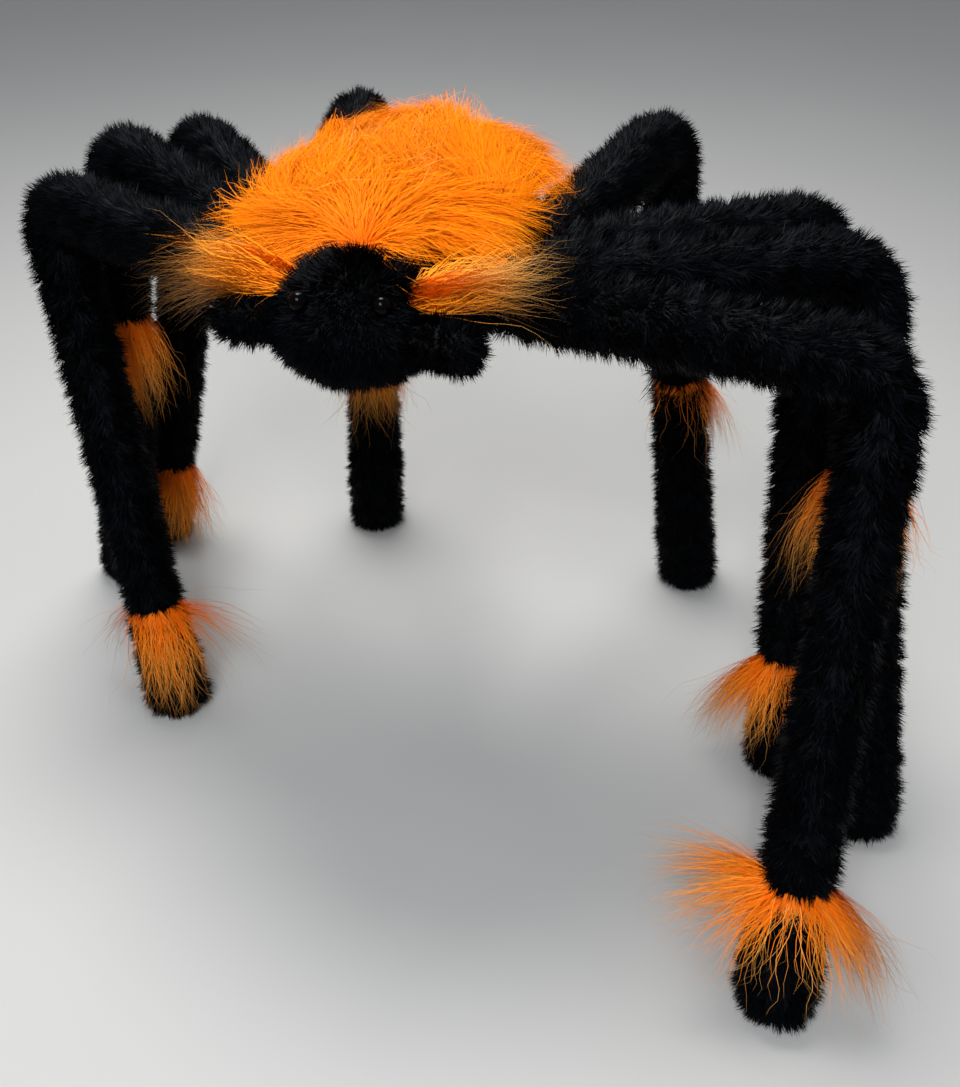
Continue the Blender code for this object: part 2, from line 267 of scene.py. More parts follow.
@dataclass(frozen=True)
class Pile:
    """How one kind of pile or fur grows, in metres and degrees.

    Attributes:
        density: hairs per square metre of skin.
        length: the longest hairs' length.
        shortest: the shortest hairs' length as a share of it.
        skew: the power by which most hairs are nearer to the shortest, 1 for none.
        width: a hair's width at its root.
        lean: its lean from the skin's normal, at the root and at the tip.
        lean_spread: how much the lean varies from hair to hair.
        sway: how far hairs turn off the flow.
        locks: how far apart the locks are that hairs gather in, and how far a tip moves towards the
            middle of its lock, from 0 to 1. The first are whole locks and any others their tresses.
        lock_sway: how far whole locks turn off the flow.
        lock_rise: how much their lean varies.
        sag: how much the tip's heading turns down under its own weight.
        wave: how far a hair waves to the sides.
        turns: how many waves it has.
        curl: how far a lock's tips turn round the normal, to either side.
        segments: how many pieces a hair is bent in.
        taper: the power of the share along the hair by which its width shrinks.
        catch: how far the hairs' shading turns upwards, because light passes through long hair.
    """

    density: float
    length: float
    shortest: float
    skew: float
    width: float
    lean: tuple[float, float]
    lean_spread: float
    sway: float
    locks: tuple[tuple[float, float], ...]
    lock_sway: float
    lock_rise: float
    sag: float
    wave: float = 0.0
    turns: float = 0.0
    curl: float = 0.0
    segments: int = 1
    taper: float = 1.6
    catch: float = 0.0


LEG_PILE = Pile(
    density=670000, length=0.0142, shortest=0.50, skew=1.0, width=0.00117, lean=(43, 43),
    lean_spread=14, sway=24, locks=((0.0090, 0.52), (0.0036, 0.40)), lock_sway=42, lock_rise=16,
    sag=0.05,
)
BODY_PILE = replace(LEG_PILE, density=480000, width=0.00125)
HEAD_PILE = Pile(
    density=980000, length=0.0118, shortest=0.52, skew=1.1, width=0.0010, lean=(38, 38),
    lean_spread=15, sway=34, locks=((0.0080, 0.42), (0.0034, 0.38)), lock_sway=62, lock_rise=18,
    sag=0.05,
)
BACK_FUR = Pile(
    density=830000, length=0.092, shortest=0.42, skew=0.9, width=0.00050, lean=(48, 88),
    lean_spread=8, sway=14, locks=((0.032, 0.56), (0.0120, 0.26), (0.0046, 0.08)), lock_sway=54,
    lock_rise=17, sag=0.20, wave=0.0034, turns=0.9, curl=70, segments=4, taper=1.9, catch=1.2,
)
BACK_DOWN = Pile(
    density=500000, length=0.052, shortest=0.50, skew=0.9, width=0.00085, lean=(50, 84),
    lean_spread=8, sway=16, locks=((0.032, 0.50), (0.0120, 0.30), (0.0046, 0.10)), lock_sway=54,
    lock_rise=17, sag=0.20, curl=60, segments=2, catch=1.2,
)
BACK_WISPS = Pile(
    density=36000, length=0.108, shortest=0.60, skew=1.0, width=0.00038, lean=(54, 90),
    lean_spread=9, sway=22, locks=((0.026, 0.30), (0.0060, 0.30)), lock_sway=26, lock_rise=8,
    sag=0.20, wave=0.0040, turns=1.5, curl=46, segments=8, taper=2.0, catch=0.8,
)
BAND_FUR = Pile(
    density=1000000, length=0.102, shortest=0.25, skew=1.3, width=0.00054, lean=(58, 88),
    lean_spread=6, sway=9, locks=((0.0120, 0.40), (0.0046, 0.46)), lock_sway=13, lock_rise=8,
    sag=0.28, wave=0.0044, turns=1.2, curl=30, segments=5, catch=1.0,
)
BAND_WISPS = Pile(
    density=190000, length=0.118, shortest=0.60, skew=1.1, width=0.00040, lean=(58, 88),
    lean_spread=10, sway=15, locks=((0.0130, 0.45), (0.0046, 0.50)), lock_sway=18, lock_rise=10,
    sag=0.28, wave=0.0058, turns=1.8, curl=40, segments=9, taper=1.8, catch=1.0,
)
CHEEK_FUR = Pile(
    density=2200000, length=0.074, shortest=0.28, skew=1.1, width=0.00060, lean=(0, 20),
    lean_spread=5, sway=16, locks=((0.0100, 0.44), (0.0042, 0.55)), lock_sway=70, lock_rise=7,
    sag=0.02, wave=0.0060, turns=1.2, curl=70, segments=6, taper=1.7, catch=2.0,
)
CHEEK_WISPS = Pile(
    density=780000, length=0.102, shortest=0.55, skew=1.0, width=0.00040, lean=(2, 36),
    lean_spread=9, sway=26, locks=((0.0110, 0.16), (0.0040, 0.50)), lock_sway=60, lock_rise=9,
    sag=0.08, wave=0.0060, turns=1.6, curl=60, segments=9, taper=1.8, catch=2.0,
)


def cell_luck(cells: NDArray[np.int64], salt: int) -> Array:
    """A number from 0 to 1 for each cell of space, always the same for the same cell and salt.

    The cell's three whole numbers and the salt are each multiplied by a large prime and mixed by
    exclusive or. Two more rounds of shifting and multiplying spread them over all the bits.
    """
    mixed = cells[:, 0] * 73856093 ^ cells[:, 1] * 19349663 ^ cells[:, 2] * 83492791
    mixed = mixed ^ salt * 2654435761
    mixed = ((mixed ^ (mixed >> 13)) * 1274126177) & 0xFFFFFFFF
    mixed = ((mixed ^ (mixed >> 15)) * 2246822519) & 0xFFFFFFFF
    return ((mixed ^ (mixed >> 16)) & 0xFFFFFF) / float(0x1000000)


@dataclass
class Locks:
    """The locks that hairs belong to, as one row for each hair.

    Attributes:
        middle: the lock's middle.
        luck: five numbers from 0 to 1 that all the hairs of the lock share.
    """

    middle: Array
    luck: Array


def nearest_locks(place: Array, spacing: float, salt: int) -> Locks:
    """The lock that each hair belongs to.

    Space is cut in cubes of the spacing, each with one middle at a chance place in it, and a hair takes
    the nearest of the 27 middles round its own cube.

    Args:
        place: the hairs' roots.
        spacing: the cubes' size.
        salt: a whole number that gives each pile its own middles.

    Returns:
        The hairs' locks.
    """
    own = np.floor(place / spacing).astype(np.int64)
    best = np.full(len(place), np.inf)
    middle = np.zeros_like(place)
    chosen = own.copy()
    offsets = np.stack(np.meshgrid([-1, 0, 1], [-1, 0, 1], [-1, 0, 1]), axis=-1).reshape(-1, 3)
    for offset in offsets:
        cell = own + offset
        jitter = np.stack([cell_luck(cell, salt + axis) for axis in range(3)], axis=-1)
        candidate = (cell + jitter) * spacing
        distance = ((candidate - place) ** 2).sum(-1)
        nearer = distance < best
        best[nearer] = distance[nearer]
        middle[nearer] = candidate[nearer]
        chosen[nearer] = cell[nearer]
    luck = np.stack([cell_luck(chosen, salt + 10 + number) for number in range(5)], axis=-1)
    return Locks(middle, luck)


def scattered(skin: Skin, pile: Pile, rng: np.random.Generator) -> Roots:
    """Roots spread evenly over a skin, as many as its area, its cover and the pile's density ask for.

    A cell of the grid is picked by the running total of areas times cover, and a point in it by mixing
    its four corners.
    """
    points, normals = skin.points, skin.normals()
    values = np.concatenate([points, normals, unit(skin.flow), skin.reach[..., None]], axis=-1)
    here, beside = values[:-1], np.roll(values, -1, axis=1)[:-1]
    next_here, next_beside = values[1:], np.roll(values, -1, axis=1)[1:]
    diagonals = (next_beside[..., :3] - here[..., :3], next_here[..., :3] - beside[..., :3])
    area = np.linalg.norm(np.cross(*diagonals), axis=-1) / 2
    weight = (area * (skin.cover[:-1] + skin.cover[1:]) / 2).ravel()
    count = int(weight.sum() * pile.density)
    running = np.cumsum(weight) / weight.sum()
    cell = np.searchsorted(running, (np.arange(count) + rng.random(count)) / count)
    cell = np.minimum(cell, len(running) - 1)
    width = values.shape[-1]
    u, v = rng.random((2, count, 1))
    near = mix(here.reshape(-1, width)[cell], beside.reshape(-1, width)[cell], u)
    far = mix(next_here.reshape(-1, width)[cell], next_beside.reshape(-1, width)[cell], u)
    mixed = mix(near, far, v)
    normal = unit(mixed[:, 3:6])
    flow = flattened(mixed[:, 6:9], normal)
    return Roots(mixed[:, :3], normal, flow, mixed[:, 9], np.zeros(count))


@dataclass
class Ribbons:
    """Hairs as bent and tapered ribbons, with a row for each hair.

    Attributes:
        lines: the points from root to tip.
        across: each point's way from one edge to the other.
        widths: how wide the ribbon is at each point.
        facing: the way that each point faces when it takes the light.
        tones: one number from 0 to 1 for each hair.
    """

    lines: Array
    across: Array
    widths: Array
    facing: Array
    tones: Array

    def mesh(self, name: str) -> bpy.types.Mesh:
        """All the hairs in one mesh: a strip of quads for each, ending in a triangle.

        A map holds each hair's tone across and its share from root to tip upwards, so that a colour can
        follow the hair.

        Args:
            name: the mesh's name.

        Returns:
            The joined mesh.
        """
        count, stops = self.lines.shape[:2]
        segments = stops - 1
        half = self.across[:, :segments] * self.widths[:, :segments, None] / 2
        left, right = self.lines[:, :segments] - half, self.lines[:, :segments] + half
        edges = np.stack([left, right], axis=2).reshape(count, 2 * segments, 3)
        corners = np.concatenate([edges, self.lines[:, segments:]], axis=1)
        base = np.arange(count)[:, None, None] * (2 * segments + 1)
        step = 2 * np.arange(segments - 1)[None, :, None]
        quads = (base + step + np.array([0, 1, 3, 2])[None, None, :]).reshape(-1, 4)
        tips = (base[:, 0] + 2 * segments - np.array([2, 1, 0])[None, :]).reshape(-1, 3)
        mesh = filled_mesh(name, corners.reshape(-1, 3), [quads, tips])
        along_edges = self.facing[:, :segments].repeat(2, axis=1)
        facing = np.concatenate([along_edges, self.facing[:, segments:]], axis=1)
        turned = mesh.attributes.new("custom_normal", "FLOAT_VECTOR", "POINT")
        turned.data.foreach_set("vector", facing.astype(np.float32).ravel())
        share = np.linspace(0.0, 1.0, stops)
        middle = TONE_MARGIN + (1 - 2 * TONE_MARGIN) * self.tones[:, None]
        both_edges = np.stack([middle - TONE_HALF_WIDTH, middle + TONE_HALF_WIDTH], axis=-1)
        both_edges = both_edges.repeat(segments, axis=1).reshape(count, -1)
        across_map = np.concatenate([both_edges, middle], axis=1)
        along_map = np.broadcast_to(np.append(share[:segments].repeat(2), 1.0), across_map.shape)
        chart = np.stack([across_map, along_map], axis=-1).reshape(-1, 2)
        corner_of = np.concatenate([quads.ravel(), tips.ravel()])
        layer = mesh.uv_layers.new(name=PILE_MAP)
        layer.data.foreach_set("uv", chart[corner_of].astype(np.float32).ravel())
        return mesh


def combed(
    roots: Roots, pile: Pile, luck: Array, rng: np.random.Generator
) -> tuple[Array, Array]:
    """Hairs that bend from their roots along the brushed flow.

    Each segment heads along the normal times the cosine of its lean plus the flow times the sine, with
    the sag added downwards. The flow turns with the square of the share along the hair by its curl.

    Args:
        roots: where the hairs grow.
        pile: how they grow.
        luck: the numbers that the hairs of a lock share.
        rng: where the differences from hair to hair come from.

    Returns:
        The hairs' lines, and each hair's way to the side.
    """
    count = len(roots.place)
    turn = rng.normal(0, pile.sway, count) + pile.lock_sway * (2 * luck[:, 0] - 1)
    turn = np.radians(turn)[:, None]
    side = unit(np.cross(roots.flow, roots.normal))
    flow = roots.flow * np.cos(turn) - side * np.sin(turn)
    side = unit(np.cross(flow, roots.normal))
    shift = rng.normal(0, pile.lean_spread, count) + pile.lock_rise * (2 * luck[:, 1] - 1)
    shift = np.radians(shift) - roots.lift
    uneven = mix(pile.shortest, 1.0, rng.random(count) ** pile.skew)
    uneven = uneven * mix(1 - LOCK_SHORTENING, 1.0, luck[:, 2])
    length = pile.length * roots.reach * uneven
    curl = pile.curl * (2 * luck[:, 4] - 1) + rng.normal(0, CURL_SPREAD * pile.curl, count)
    curl = np.radians(curl)
    stops = [roots.place]
    for number in range(pile.segments):
        share = (number + 0.5) / pile.segments
        lean = (math.radians(mix(pile.lean[0], pile.lean[1], share)) + shift)[:, None]
        bend = (curl * share**2)[:, None]
        curled = flow * np.cos(bend) - side * np.sin(bend)
        heading = roots.normal * np.cos(lean) + curled * np.sin(lean) + DOWN * pile.sag * 2 * share
        stops.append(stops[-1] + unit(heading) * (length / pile.segments)[:, None])
    return np.stack(stops, axis=1), side


def drawn_together(
    lines: Array, side: Array, roots: Roots, pile: Pile, locks: list[Locks], rng: np.random.Generator
) -> Array:
    """Hairs gathered in their locks, waved and kept clear of the floor.

    A line is pulled sideways to the middle of each of its locks, by a power of the share along it. Then
    it is waved by a sine whose start the hairs of its smallest lock nearly share.

    Args:
        lines: the hairs' lines.
        side: each hair's way to the side.
        roots: where the hairs grow.
        pile: how they grow.
        locks: the hairs' locks, one entry for each size of the pile's.
        rng: where the differences from hair to hair come from.

    Returns:
        The moved lines.
    """
    phase = FULL_TURN * locks[-1].luck[:, 0] + rng.normal(0, PHASE_SPREAD, len(lines))
    phase = phase[:, None, None]
    shares = np.linspace(0.0, 1.0, pile.segments + 1)[None, :, None]
    for lock, (_, pull) in zip(locks, pile.locks):
        toward = lock.middle - roots.place
        toward = toward - roots.normal * (toward * roots.normal).sum(-1, keepdims=True)
        lines = lines + toward[:, None] * pull * shares**GATHER_POWER
    sideways = np.sin(phase + FULL_TURN * pile.turns * shares) - np.sin(phase)
    lines = lines + side[:, None] * sideways * pile.wave * shares
    lowest = FLOOR_CLEARANCE * (1 + FLOOR_LAYERS * locks[0].luck[:, 3])
    lines[..., 2] = np.maximum(lines[..., 2], lowest[:, None])
    return lines


def widened(
    lines: Array, side: Array, normal: Array, pile: Pile, luck: Array, rng: np.random.Generator
) -> Ribbons:
    """Lines as ribbons, each rolled a little and thinner towards its tip.

    A ribbon faces half-way between the skin's normal and its own upper side, turned upwards by the
    pile's catch, so that a pile takes the light as one soft surface.

    Args:
        lines: the hairs' lines.
        side: each hair's way to the side.
        normal: the skin's normal at each root.
        pile: how the hairs grow.
        luck: the numbers that the hairs of a lock share.
        rng: where the differences from hair to hair come from.

    Returns:
        The ribbons.
    """
    count = len(lines)
    headings = unit(np.gradient(lines, axis=1))
    upper = np.cross(side[:, None], headings)
    roll = np.radians(rng.uniform(-ROLL_SPREAD, ROLL_SPREAD, count))[:, None, None]
    across = unit(side[:, None] * np.cos(roll) - upper * np.sin(roll))
    stray = rng.normal(0, FACING_SPREAD, (count, 1, 3))
    facing = unit(normal[:, None] + upper - pile.catch * DOWN + stray)
    narrowing = 1 - np.linspace(0.0, 1.0, pile.segments + 1) ** pile.taper
    uneven = rng.uniform(1 - WIDTH_SPREAD, 1 + WIDTH_SPREAD, (count, 1))
    widths = pile.width * narrowing[None, :] * uneven
    tones = 0.5 + rng.normal(0, TONE_SPREAD, count) + LOCK_TONE_RANGE * (luck[:, 3] - 0.5)
    return Ribbons(lines, across, widths, facing, np.clip(tones, 0, 1))


def grown(roots: Roots, pile: Pile, rng: np.random.Generator, salt: int) -> Ribbons:
    """Hairs that bend along the brushed flow and gather in locks, as ribbons.

    Args:
        roots: where the hairs grow.
        pile: how they grow.
        rng: where the differences from hair to hair come from.
        salt: which set of locks the pile has.

    Returns:
        The hairs.
    """
    locks = []
    for number, (spacing, _) in enumerate(pile.locks):
        locks.append(nearest_locks(roots.place, spacing, salt + SALTS_PER_LOCK * number))
    luck = locks[0].luck
    lines, side = combed(roots, pile, luck, rng)
    lines = drawn_together(lines, side, roots, pile, locks, rng)
    return widened(lines, side, roots.normal, pile, luck, rng)


def group_of(name: str, inputs: dict[str, tuple[str, object]], output: str) -> bpy.types.NodeTree:
    """An empty shader node group with named inputs and one output.

    Args:
        name: the group's name.
        inputs: each input's socket type and default value by its name.
        output: the type of its only output, which is named Result.

    Returns:
        The group, holding its input and output nodes.
    """
    group = bpy.data.node_groups.new(name, "ShaderNodeTree")
    for label, (kind, value) in inputs.items():
        socket = group.interface.new_socket(name=label, in_out="INPUT", socket_type=kind)
        socket.default_value = value
    group.interface.new_socket(name="Result", in_out="OUTPUT", socket_type=output)
    group.nodes.new("NodeGroupInput")
    group.nodes.new("NodeGroupOutput")
    return group


def map_range(tree: bpy.types.NodeTree, value: object, low: float, high: float) -> object:
    """A smooth step of a value, from 0 at low to 1 at high, as a node's output."""
    node = tree.nodes.new("ShaderNodeMapRange")
    node.interpolation_type = "SMOOTHSTEP"
    node.inputs["From Min"].default_value = low
    node.inputs["From Max"].default_value = high
    tree.links.new(value, node.inputs["Value"])
    return node.outputs["Result"]


def mixed_colour(tree: bpy.types.NodeTree, share: object, first: object, second: object) -> object:
    """A mix of two colour outputs by a share, as a node's output."""
    node = tree.nodes.new("ShaderNodeMix")
    node.data_type = "RGBA"
    tree.links.new(share, node.inputs["Factor"])
    tree.links.new(first, node.inputs["A"])
    tree.links.new(second, node.inputs["B"])
    return node.outputs["Result"]


def arithmetic(tree: bpy.types.NodeTree, operation: str, first: object, second: object) -> object:
    """A Math node's output for two inputs, each an output of another node or a number."""
    node = tree.nodes.new("ShaderNodeMath")
    node.operation = operation
    for number, value in enumerate((first, second)):
        if isinstance(value, (int, float)):
            node.inputs[number].default_value = value
        else:
            tree.links.new(value, node.inputs[number])
    return node.outputs["Value"]


def hair_colour_group() -> bpy.types.NodeTree:
    """A colour that runs along a hair from root to middle to tip, and differs from hair to hair.

    The map's height gives the share along the hair, and its width the hair's tone. The colour is
    multiplied by one plus the tone less a half, times the contrast. Hairs of the upper tones turn to
    the odd colour, which in the black pile is lighter and bluish: a painted sheen.
    """
    grey = ("NodeSocketColor", (0.5, 0.5, 0.5, 1.0))
    half = ("NodeSocketFloat", 0.5)
    colours = {label: grey for label in ("Root", "Middle", "Tip", "Odd Hair")}
    values = {label: half for label in ("Contrast", "Tip Start", "Odd Share")}
    group = group_of("Hair colour", {**colours, **values}, "NodeSocketColor")
    taken = group.nodes["Group Input"].outputs
    chart = group.nodes.new("ShaderNodeUVMap")
    chart.uv_map = PILE_MAP
    split = group.nodes.new("ShaderNodeSeparateXYZ")
    group.links.new(chart.outputs["UV"], split.inputs["Vector"])
    tone, share = split.outputs["X"], split.outputs["Y"]
    lower = mixed_colour(group, map_range(group, share, 0.0, 0.5), taken["Root"], taken["Middle"])
    past = arithmetic(group, "SUBTRACT", share, taken["Tip Start"])
    whole = mixed_colour(group, map_range(group, past, 0.0, 0.5), lower, taken["Tip"])
    odd = arithmetic(group, "MULTIPLY", map_range(group, tone, 0.55, 1.0), taken["Odd Share"])
    varied = mixed_colour(group, odd, whole, taken["Odd Hair"])
    centred = arithmetic(group, "SUBTRACT", tone, 0.5)
    gain = arithmetic(group, "ADD", arithmetic(group, "MULTIPLY", centred, taken["Contrast"]), 1.0)
    scaled = group.nodes.new("ShaderNodeVectorMath")
    scaled.operation = "SCALE"
    group.links.new(varied, scaled.inputs["Vector"])
    group.links.new(gain, scaled.inputs["Scale"])
    group.links.new(scaled.outputs["Vector"], group.nodes["Group Output"].inputs["Result"])
    return group


def knit_group() -> bpy.types.NodeTree:
    """The knitted ground that pile is woven into: fine crossed ribs broken up by noise, as a height."""
    group = group_of("Knit ground", {"Ribs": ("NodeSocketFloat", 900.0)}, "NodeSocketFloat")
    taken = group.nodes["Group Input"].outputs
    coordinates = group.nodes.new("ShaderNodeTexCoord")
    heights = []
    for kind in ("ShaderNodeTexNoise", "ShaderNodeTexVoronoi"):
        texture = group.nodes.new(kind)
        group.links.new(coordinates.outputs["Object"], texture.inputs["Vector"])
        group.links.new(taken["Ribs"], texture.inputs["Scale"])
        heights.append(texture.outputs[0])
    total = arithmetic(group, "ADD", heights[0], heights[1])
    group.links.new(total, group.nodes["Group Output"].inputs["Result"])
    return group


def placed_group(
    tree: bpy.types.NodeTree, group: bpy.types.NodeTree, values: dict[str, object]
) -> object:
    """A group's node in a material with its own values, as the node's output."""
    node = tree.nodes.new("ShaderNodeGroup")
    node.node_tree = group
    for label, value in values.items():
        node.inputs[label].default_value = value
    return node.outputs["Result"]


def new_material(name: str, constants: dict[str, object]) -> tuple[bpy.types.NodeTree, bpy.types.Node]:
    """A material whose Principled shader has these constant values.

    Args:
        name: the material's name.
        constants: values by the names of the shader's sockets.

    Returns:
        The material's node tree and its shader.
    """
    material = bpy.data.materials.new(name)
    material.use_nodes = True
    tree = material.node_tree
    shader = tree.nodes["Principled BSDF"]
    for label, value in constants.items():
        shader.inputs[label].default_value = value
    return tree, shader


@dataclass(frozen=True)
class HairFinish:
    """The colours of a pile along its hairs, and how it shines.

    Attributes:
        name: the material's name.
        slot: a material slot's name, not used.
        root: the colour deep in the pile.
        middle: the colour half-way up.
        tip: the colour at the tips, from tip_start of the way up; in the black pile a painted sheen.
        odd_hair_and_sheen: some single hairs' colour, mixed in by odd_share; in the black pile a
            painted sheen.
        contrast: how much hairs differ in brightness.
        roughness: of the shine.
        specular: how strong the shine is.
        sheen: how much light the fibres throw at a grazing angle.
        sheen_tint: the tint of the sheen and of the shine.
        sheen_roughness: the sheen's roughness.
    """

    name: str
    slot: str
    root: tuple[float, float, float]
    middle: tuple[float, float, float]
    tip: tuple[float, float, float]
    tip_start: float
    odd_hair_and_sheen: tuple[float, float, float]
    odd_share: float
    contrast: float
    roughness: float
    specular: float
    sheen: float
    sheen_tint: tuple[float, float, float]
    sheen_roughness: float

    def material(self, colour_group: bpy.types.NodeTree) -> bpy.types.Material:
        """The finish as a material, with its colour from the shared group."""
        constants = {
            "Roughness": self.roughness,
            "Specular IOR Level": self.specular,
            "Specular Tint": (*self.sheen_tint, 1.0),
            "Sheen Weight": self.sheen,
            "Sheen Tint": (*self.sheen_tint, 1.0),
            "Sheen Roughness": self.sheen_roughness,
        }
        tree, shader = new_material(self.name, constants)
        values = {
            "Root": (*self.root, 1.0),
            "Middle": (*self.middle, 1.0),
            "Tip": (*self.tip, 1.0),
            "Odd Hair": (*self.odd_hair_and_sheen, 1.0),
            "Contrast": self.contrast,
            "Tip Start": self.tip_start,
            "Odd Share": self.odd_share,
        }
        tree.links.new(placed_group(tree, colour_group, values), shader.inputs["Base Color"])
        return bpy.data.materials[self.name]


@dataclass(frozen=True)
class ClothFinish:
    """The knitted ground under a pile.

    Attributes:
        name: the material's name.
        slot: a material slot's name, not used.
        dark, light: the colours in the knit's hollows and on its ribs, the darker being painted shade.
        ribs: how many ribs a metre has.
        roughness: of the shine.
        specular: how strong the shine is.
        relief: how strongly the ribs stand out.
        relief_height: how high they are, in metres.
    """

    name: str
    slot: str
    dark: tuple[float, float, float]
    light: tuple[float, float, float]
    ribs: float
    roughness: float = 0.92
    specular: float = 0.2
    relief: float = 0.4
    relief_height: float = 0.0008

    def material(self, knit: bpy.types.NodeTree) -> bpy.types.Material:
        """The finish as a material: two tones and a fine bump from the shared knit height."""
        constants = {"Roughness": self.roughness, "Specular IOR Level": self.specular}
        tree, shader = new_material(self.name, constants)
        height = placed_group(tree, knit, {"Ribs": self.ribs})
        # Painted shade: the knit's hollows take the darker tone, its ribs the lighter.
        ramp = tree.nodes.new("ShaderNodeValToRGB")
        ramp.color_ramp.elements[0].color = (*self.dark, 1.0)
        ramp.color_ramp.elements[1].color = (*self.light, 1.0)
        tree.links.new(height, ramp.inputs["Fac"])
        tree.links.new(ramp.outputs["Color"], shader.inputs["Base Color"])
        relief = tree.nodes.new("ShaderNodeBump")
        relief.inputs["Strength"].default_value = self.relief
        relief.inputs["Distance"].default_value = self.relief_height
        tree.links.new(height, relief.inputs["Height"])
        tree.links.new(relief.outputs["Normal"], shader.inputs["Normal"])
        return bpy.data.materials[self.name]


@dataclass(frozen=True)
class DomeFinish:
    """Polished black plastic with hair-fine wear.

    Attributes:
        name: the material's name.
        slot: a material slot's name, not used.
        colour: the plastic's colour.
        specular: how strong the shine is.
        refraction: the plastic's index of refraction.
        wear_scale: how fine the wear is.
        smoothest, roughest: the roughness where the wear is least and most.
    """

    name: str = "polished_dome"
    slot: str = "glossy_black"
    colour: tuple[float, float, float] = (0.0006, 0.0006, 0.0008)
    specular: float = 0.08
    refraction: float = 1.45
    wear_scale: float = 1400.0
    smoothest: float = 0.03
    roughest: float = 0.12

    def material(self) -> bpy.types.Material:
        """The finish as a material, with its roughness from a fine noise."""
        constants = {
            "Base Color": (*self.colour, 1.0),
            "Specular IOR Level": self.specular,
            "IOR": self.refraction,
        }
        tree, shader = new_material(self.name, constants)
        coordinates = tree.nodes.new("ShaderNodeTexCoord")
        wear = tree.nodes.new("ShaderNodeTexNoise")
        wear.inputs["Scale"].default_value = self.wear_scale
        tree.links.new(coordinates.outputs["Object"], wear.inputs["Vector"])
        spread = tree.nodes.new("ShaderNodeMapRange")
        spread.inputs["To Min"].default_value = self.smoothest
        spread.inputs["To Max"].default_value = self.roughest
        tree.links.new(wear.outputs[0], spread.inputs["Value"])
        tree.links.new(spread.outputs["Result"], shader.inputs["Roughness"])
        return bpy.data.materials[self.name]


# The black pile's tips and odd hairs are lighter and bluish: a painted sheen on black fibres.
BLACK_PILE = HairFinish(
    name="black_pile", slot="black_plush",
    root=(0.0001, 0.0001, 0.0002), middle=(0.0003, 0.0004, 0.0005), tip=(0.0010, 0.0012, 0.0017),
    tip_start=0.42, odd_hair_and_sheen=(0.0034, 0.0041, 0.0058), odd_share=0.6, contrast=1.0,
    roughness=0.42, specular=0.030, sheen=0.005, sheen_tint=(0.62, 0.74, 0.95), sheen_roughness=0.30,
)
ORANGE_HAIR = HairFinish(
    name="orange_hair", slot="orange_fur",
    root=(0.80, 0.115, 0.0005), middle=(0.80, 0.178, 0.0008), tip=(0.76, 0.215, 0.002),
    tip_start=0.55, odd_hair_and_sheen=(0.90, 0.275, 0.003), odd_share=0.6, contrast=0.40,
    roughness=0.48, specular=0.035, sheen=0.0, sheen_tint=(1.0, 0.55, 0.2), sheen_roughness=0.4,
)
BAND_HAIR = HairFinish(
    name="band_hair", slot="orange_fur",
    root=(0.92, 0.130, 0.001), middle=(0.90, 0.212, 0.006), tip=(0.70, 0.27, 0.040),
    tip_start=0.42, odd_hair_and_sheen=(0.90, 0.34, 0.040), odd_share=0.5, contrast=0.34,
    roughness=0.45, specular=0.06, sheen=0.0, sheen_tint=(1.0, 0.6, 0.3), sheen_roughness=0.4,
)
GOLDEN_HAIR = HairFinish(
    name="golden_hair", slot="orange_fur",
    root=(0.98, 0.265, 0.005), middle=(0.96, 0.290, 0.009), tip=(0.76, 0.300, 0.035),
    tip_start=0.50, odd_hair_and_sheen=(0.95, 0.37, 0.050), odd_share=0.6, contrast=0.34,
    roughness=0.45, specular=0.06, sheen=0.0, sheen_tint=(1.0, 0.6, 0.3), sheen_roughness=0.4,
)
BROWN_WISP = HairFinish(
    name="brown_wisp", slot="orange_fur",
    root=(0.90, 0.20, 0.008), middle=(0.70, 0.27, 0.034), tip=(0.46, 0.22, 0.055),
    tip_start=0.35, odd_hair_and_sheen=(0.78, 0.36, 0.08), odd_share=0.5, contrast=0.5,
    roughness=0.40, specular=0.20, sheen=0.0, sheen_tint=(1.0, 0.7, 0.4), sheen_roughness=0.4,
)
BLACK_CLOTH = ClothFinish(
    name="black_knit", slot="black_plush", dark=(0.0005, 0.0005, 0.0006), light=(0.002, 0.002, 0.0024),
    ribs=900.0,
)
ORANGE_CLOTH = ClothFinish(
    name="orange_knit", slot="orange_fur", dark=(0.85, 0.140, 0.001), light=(0.95, 0.190, 0.003),
    ribs=700.0,
)


Finish = HairFinish | ClothFinish | DomeFinish


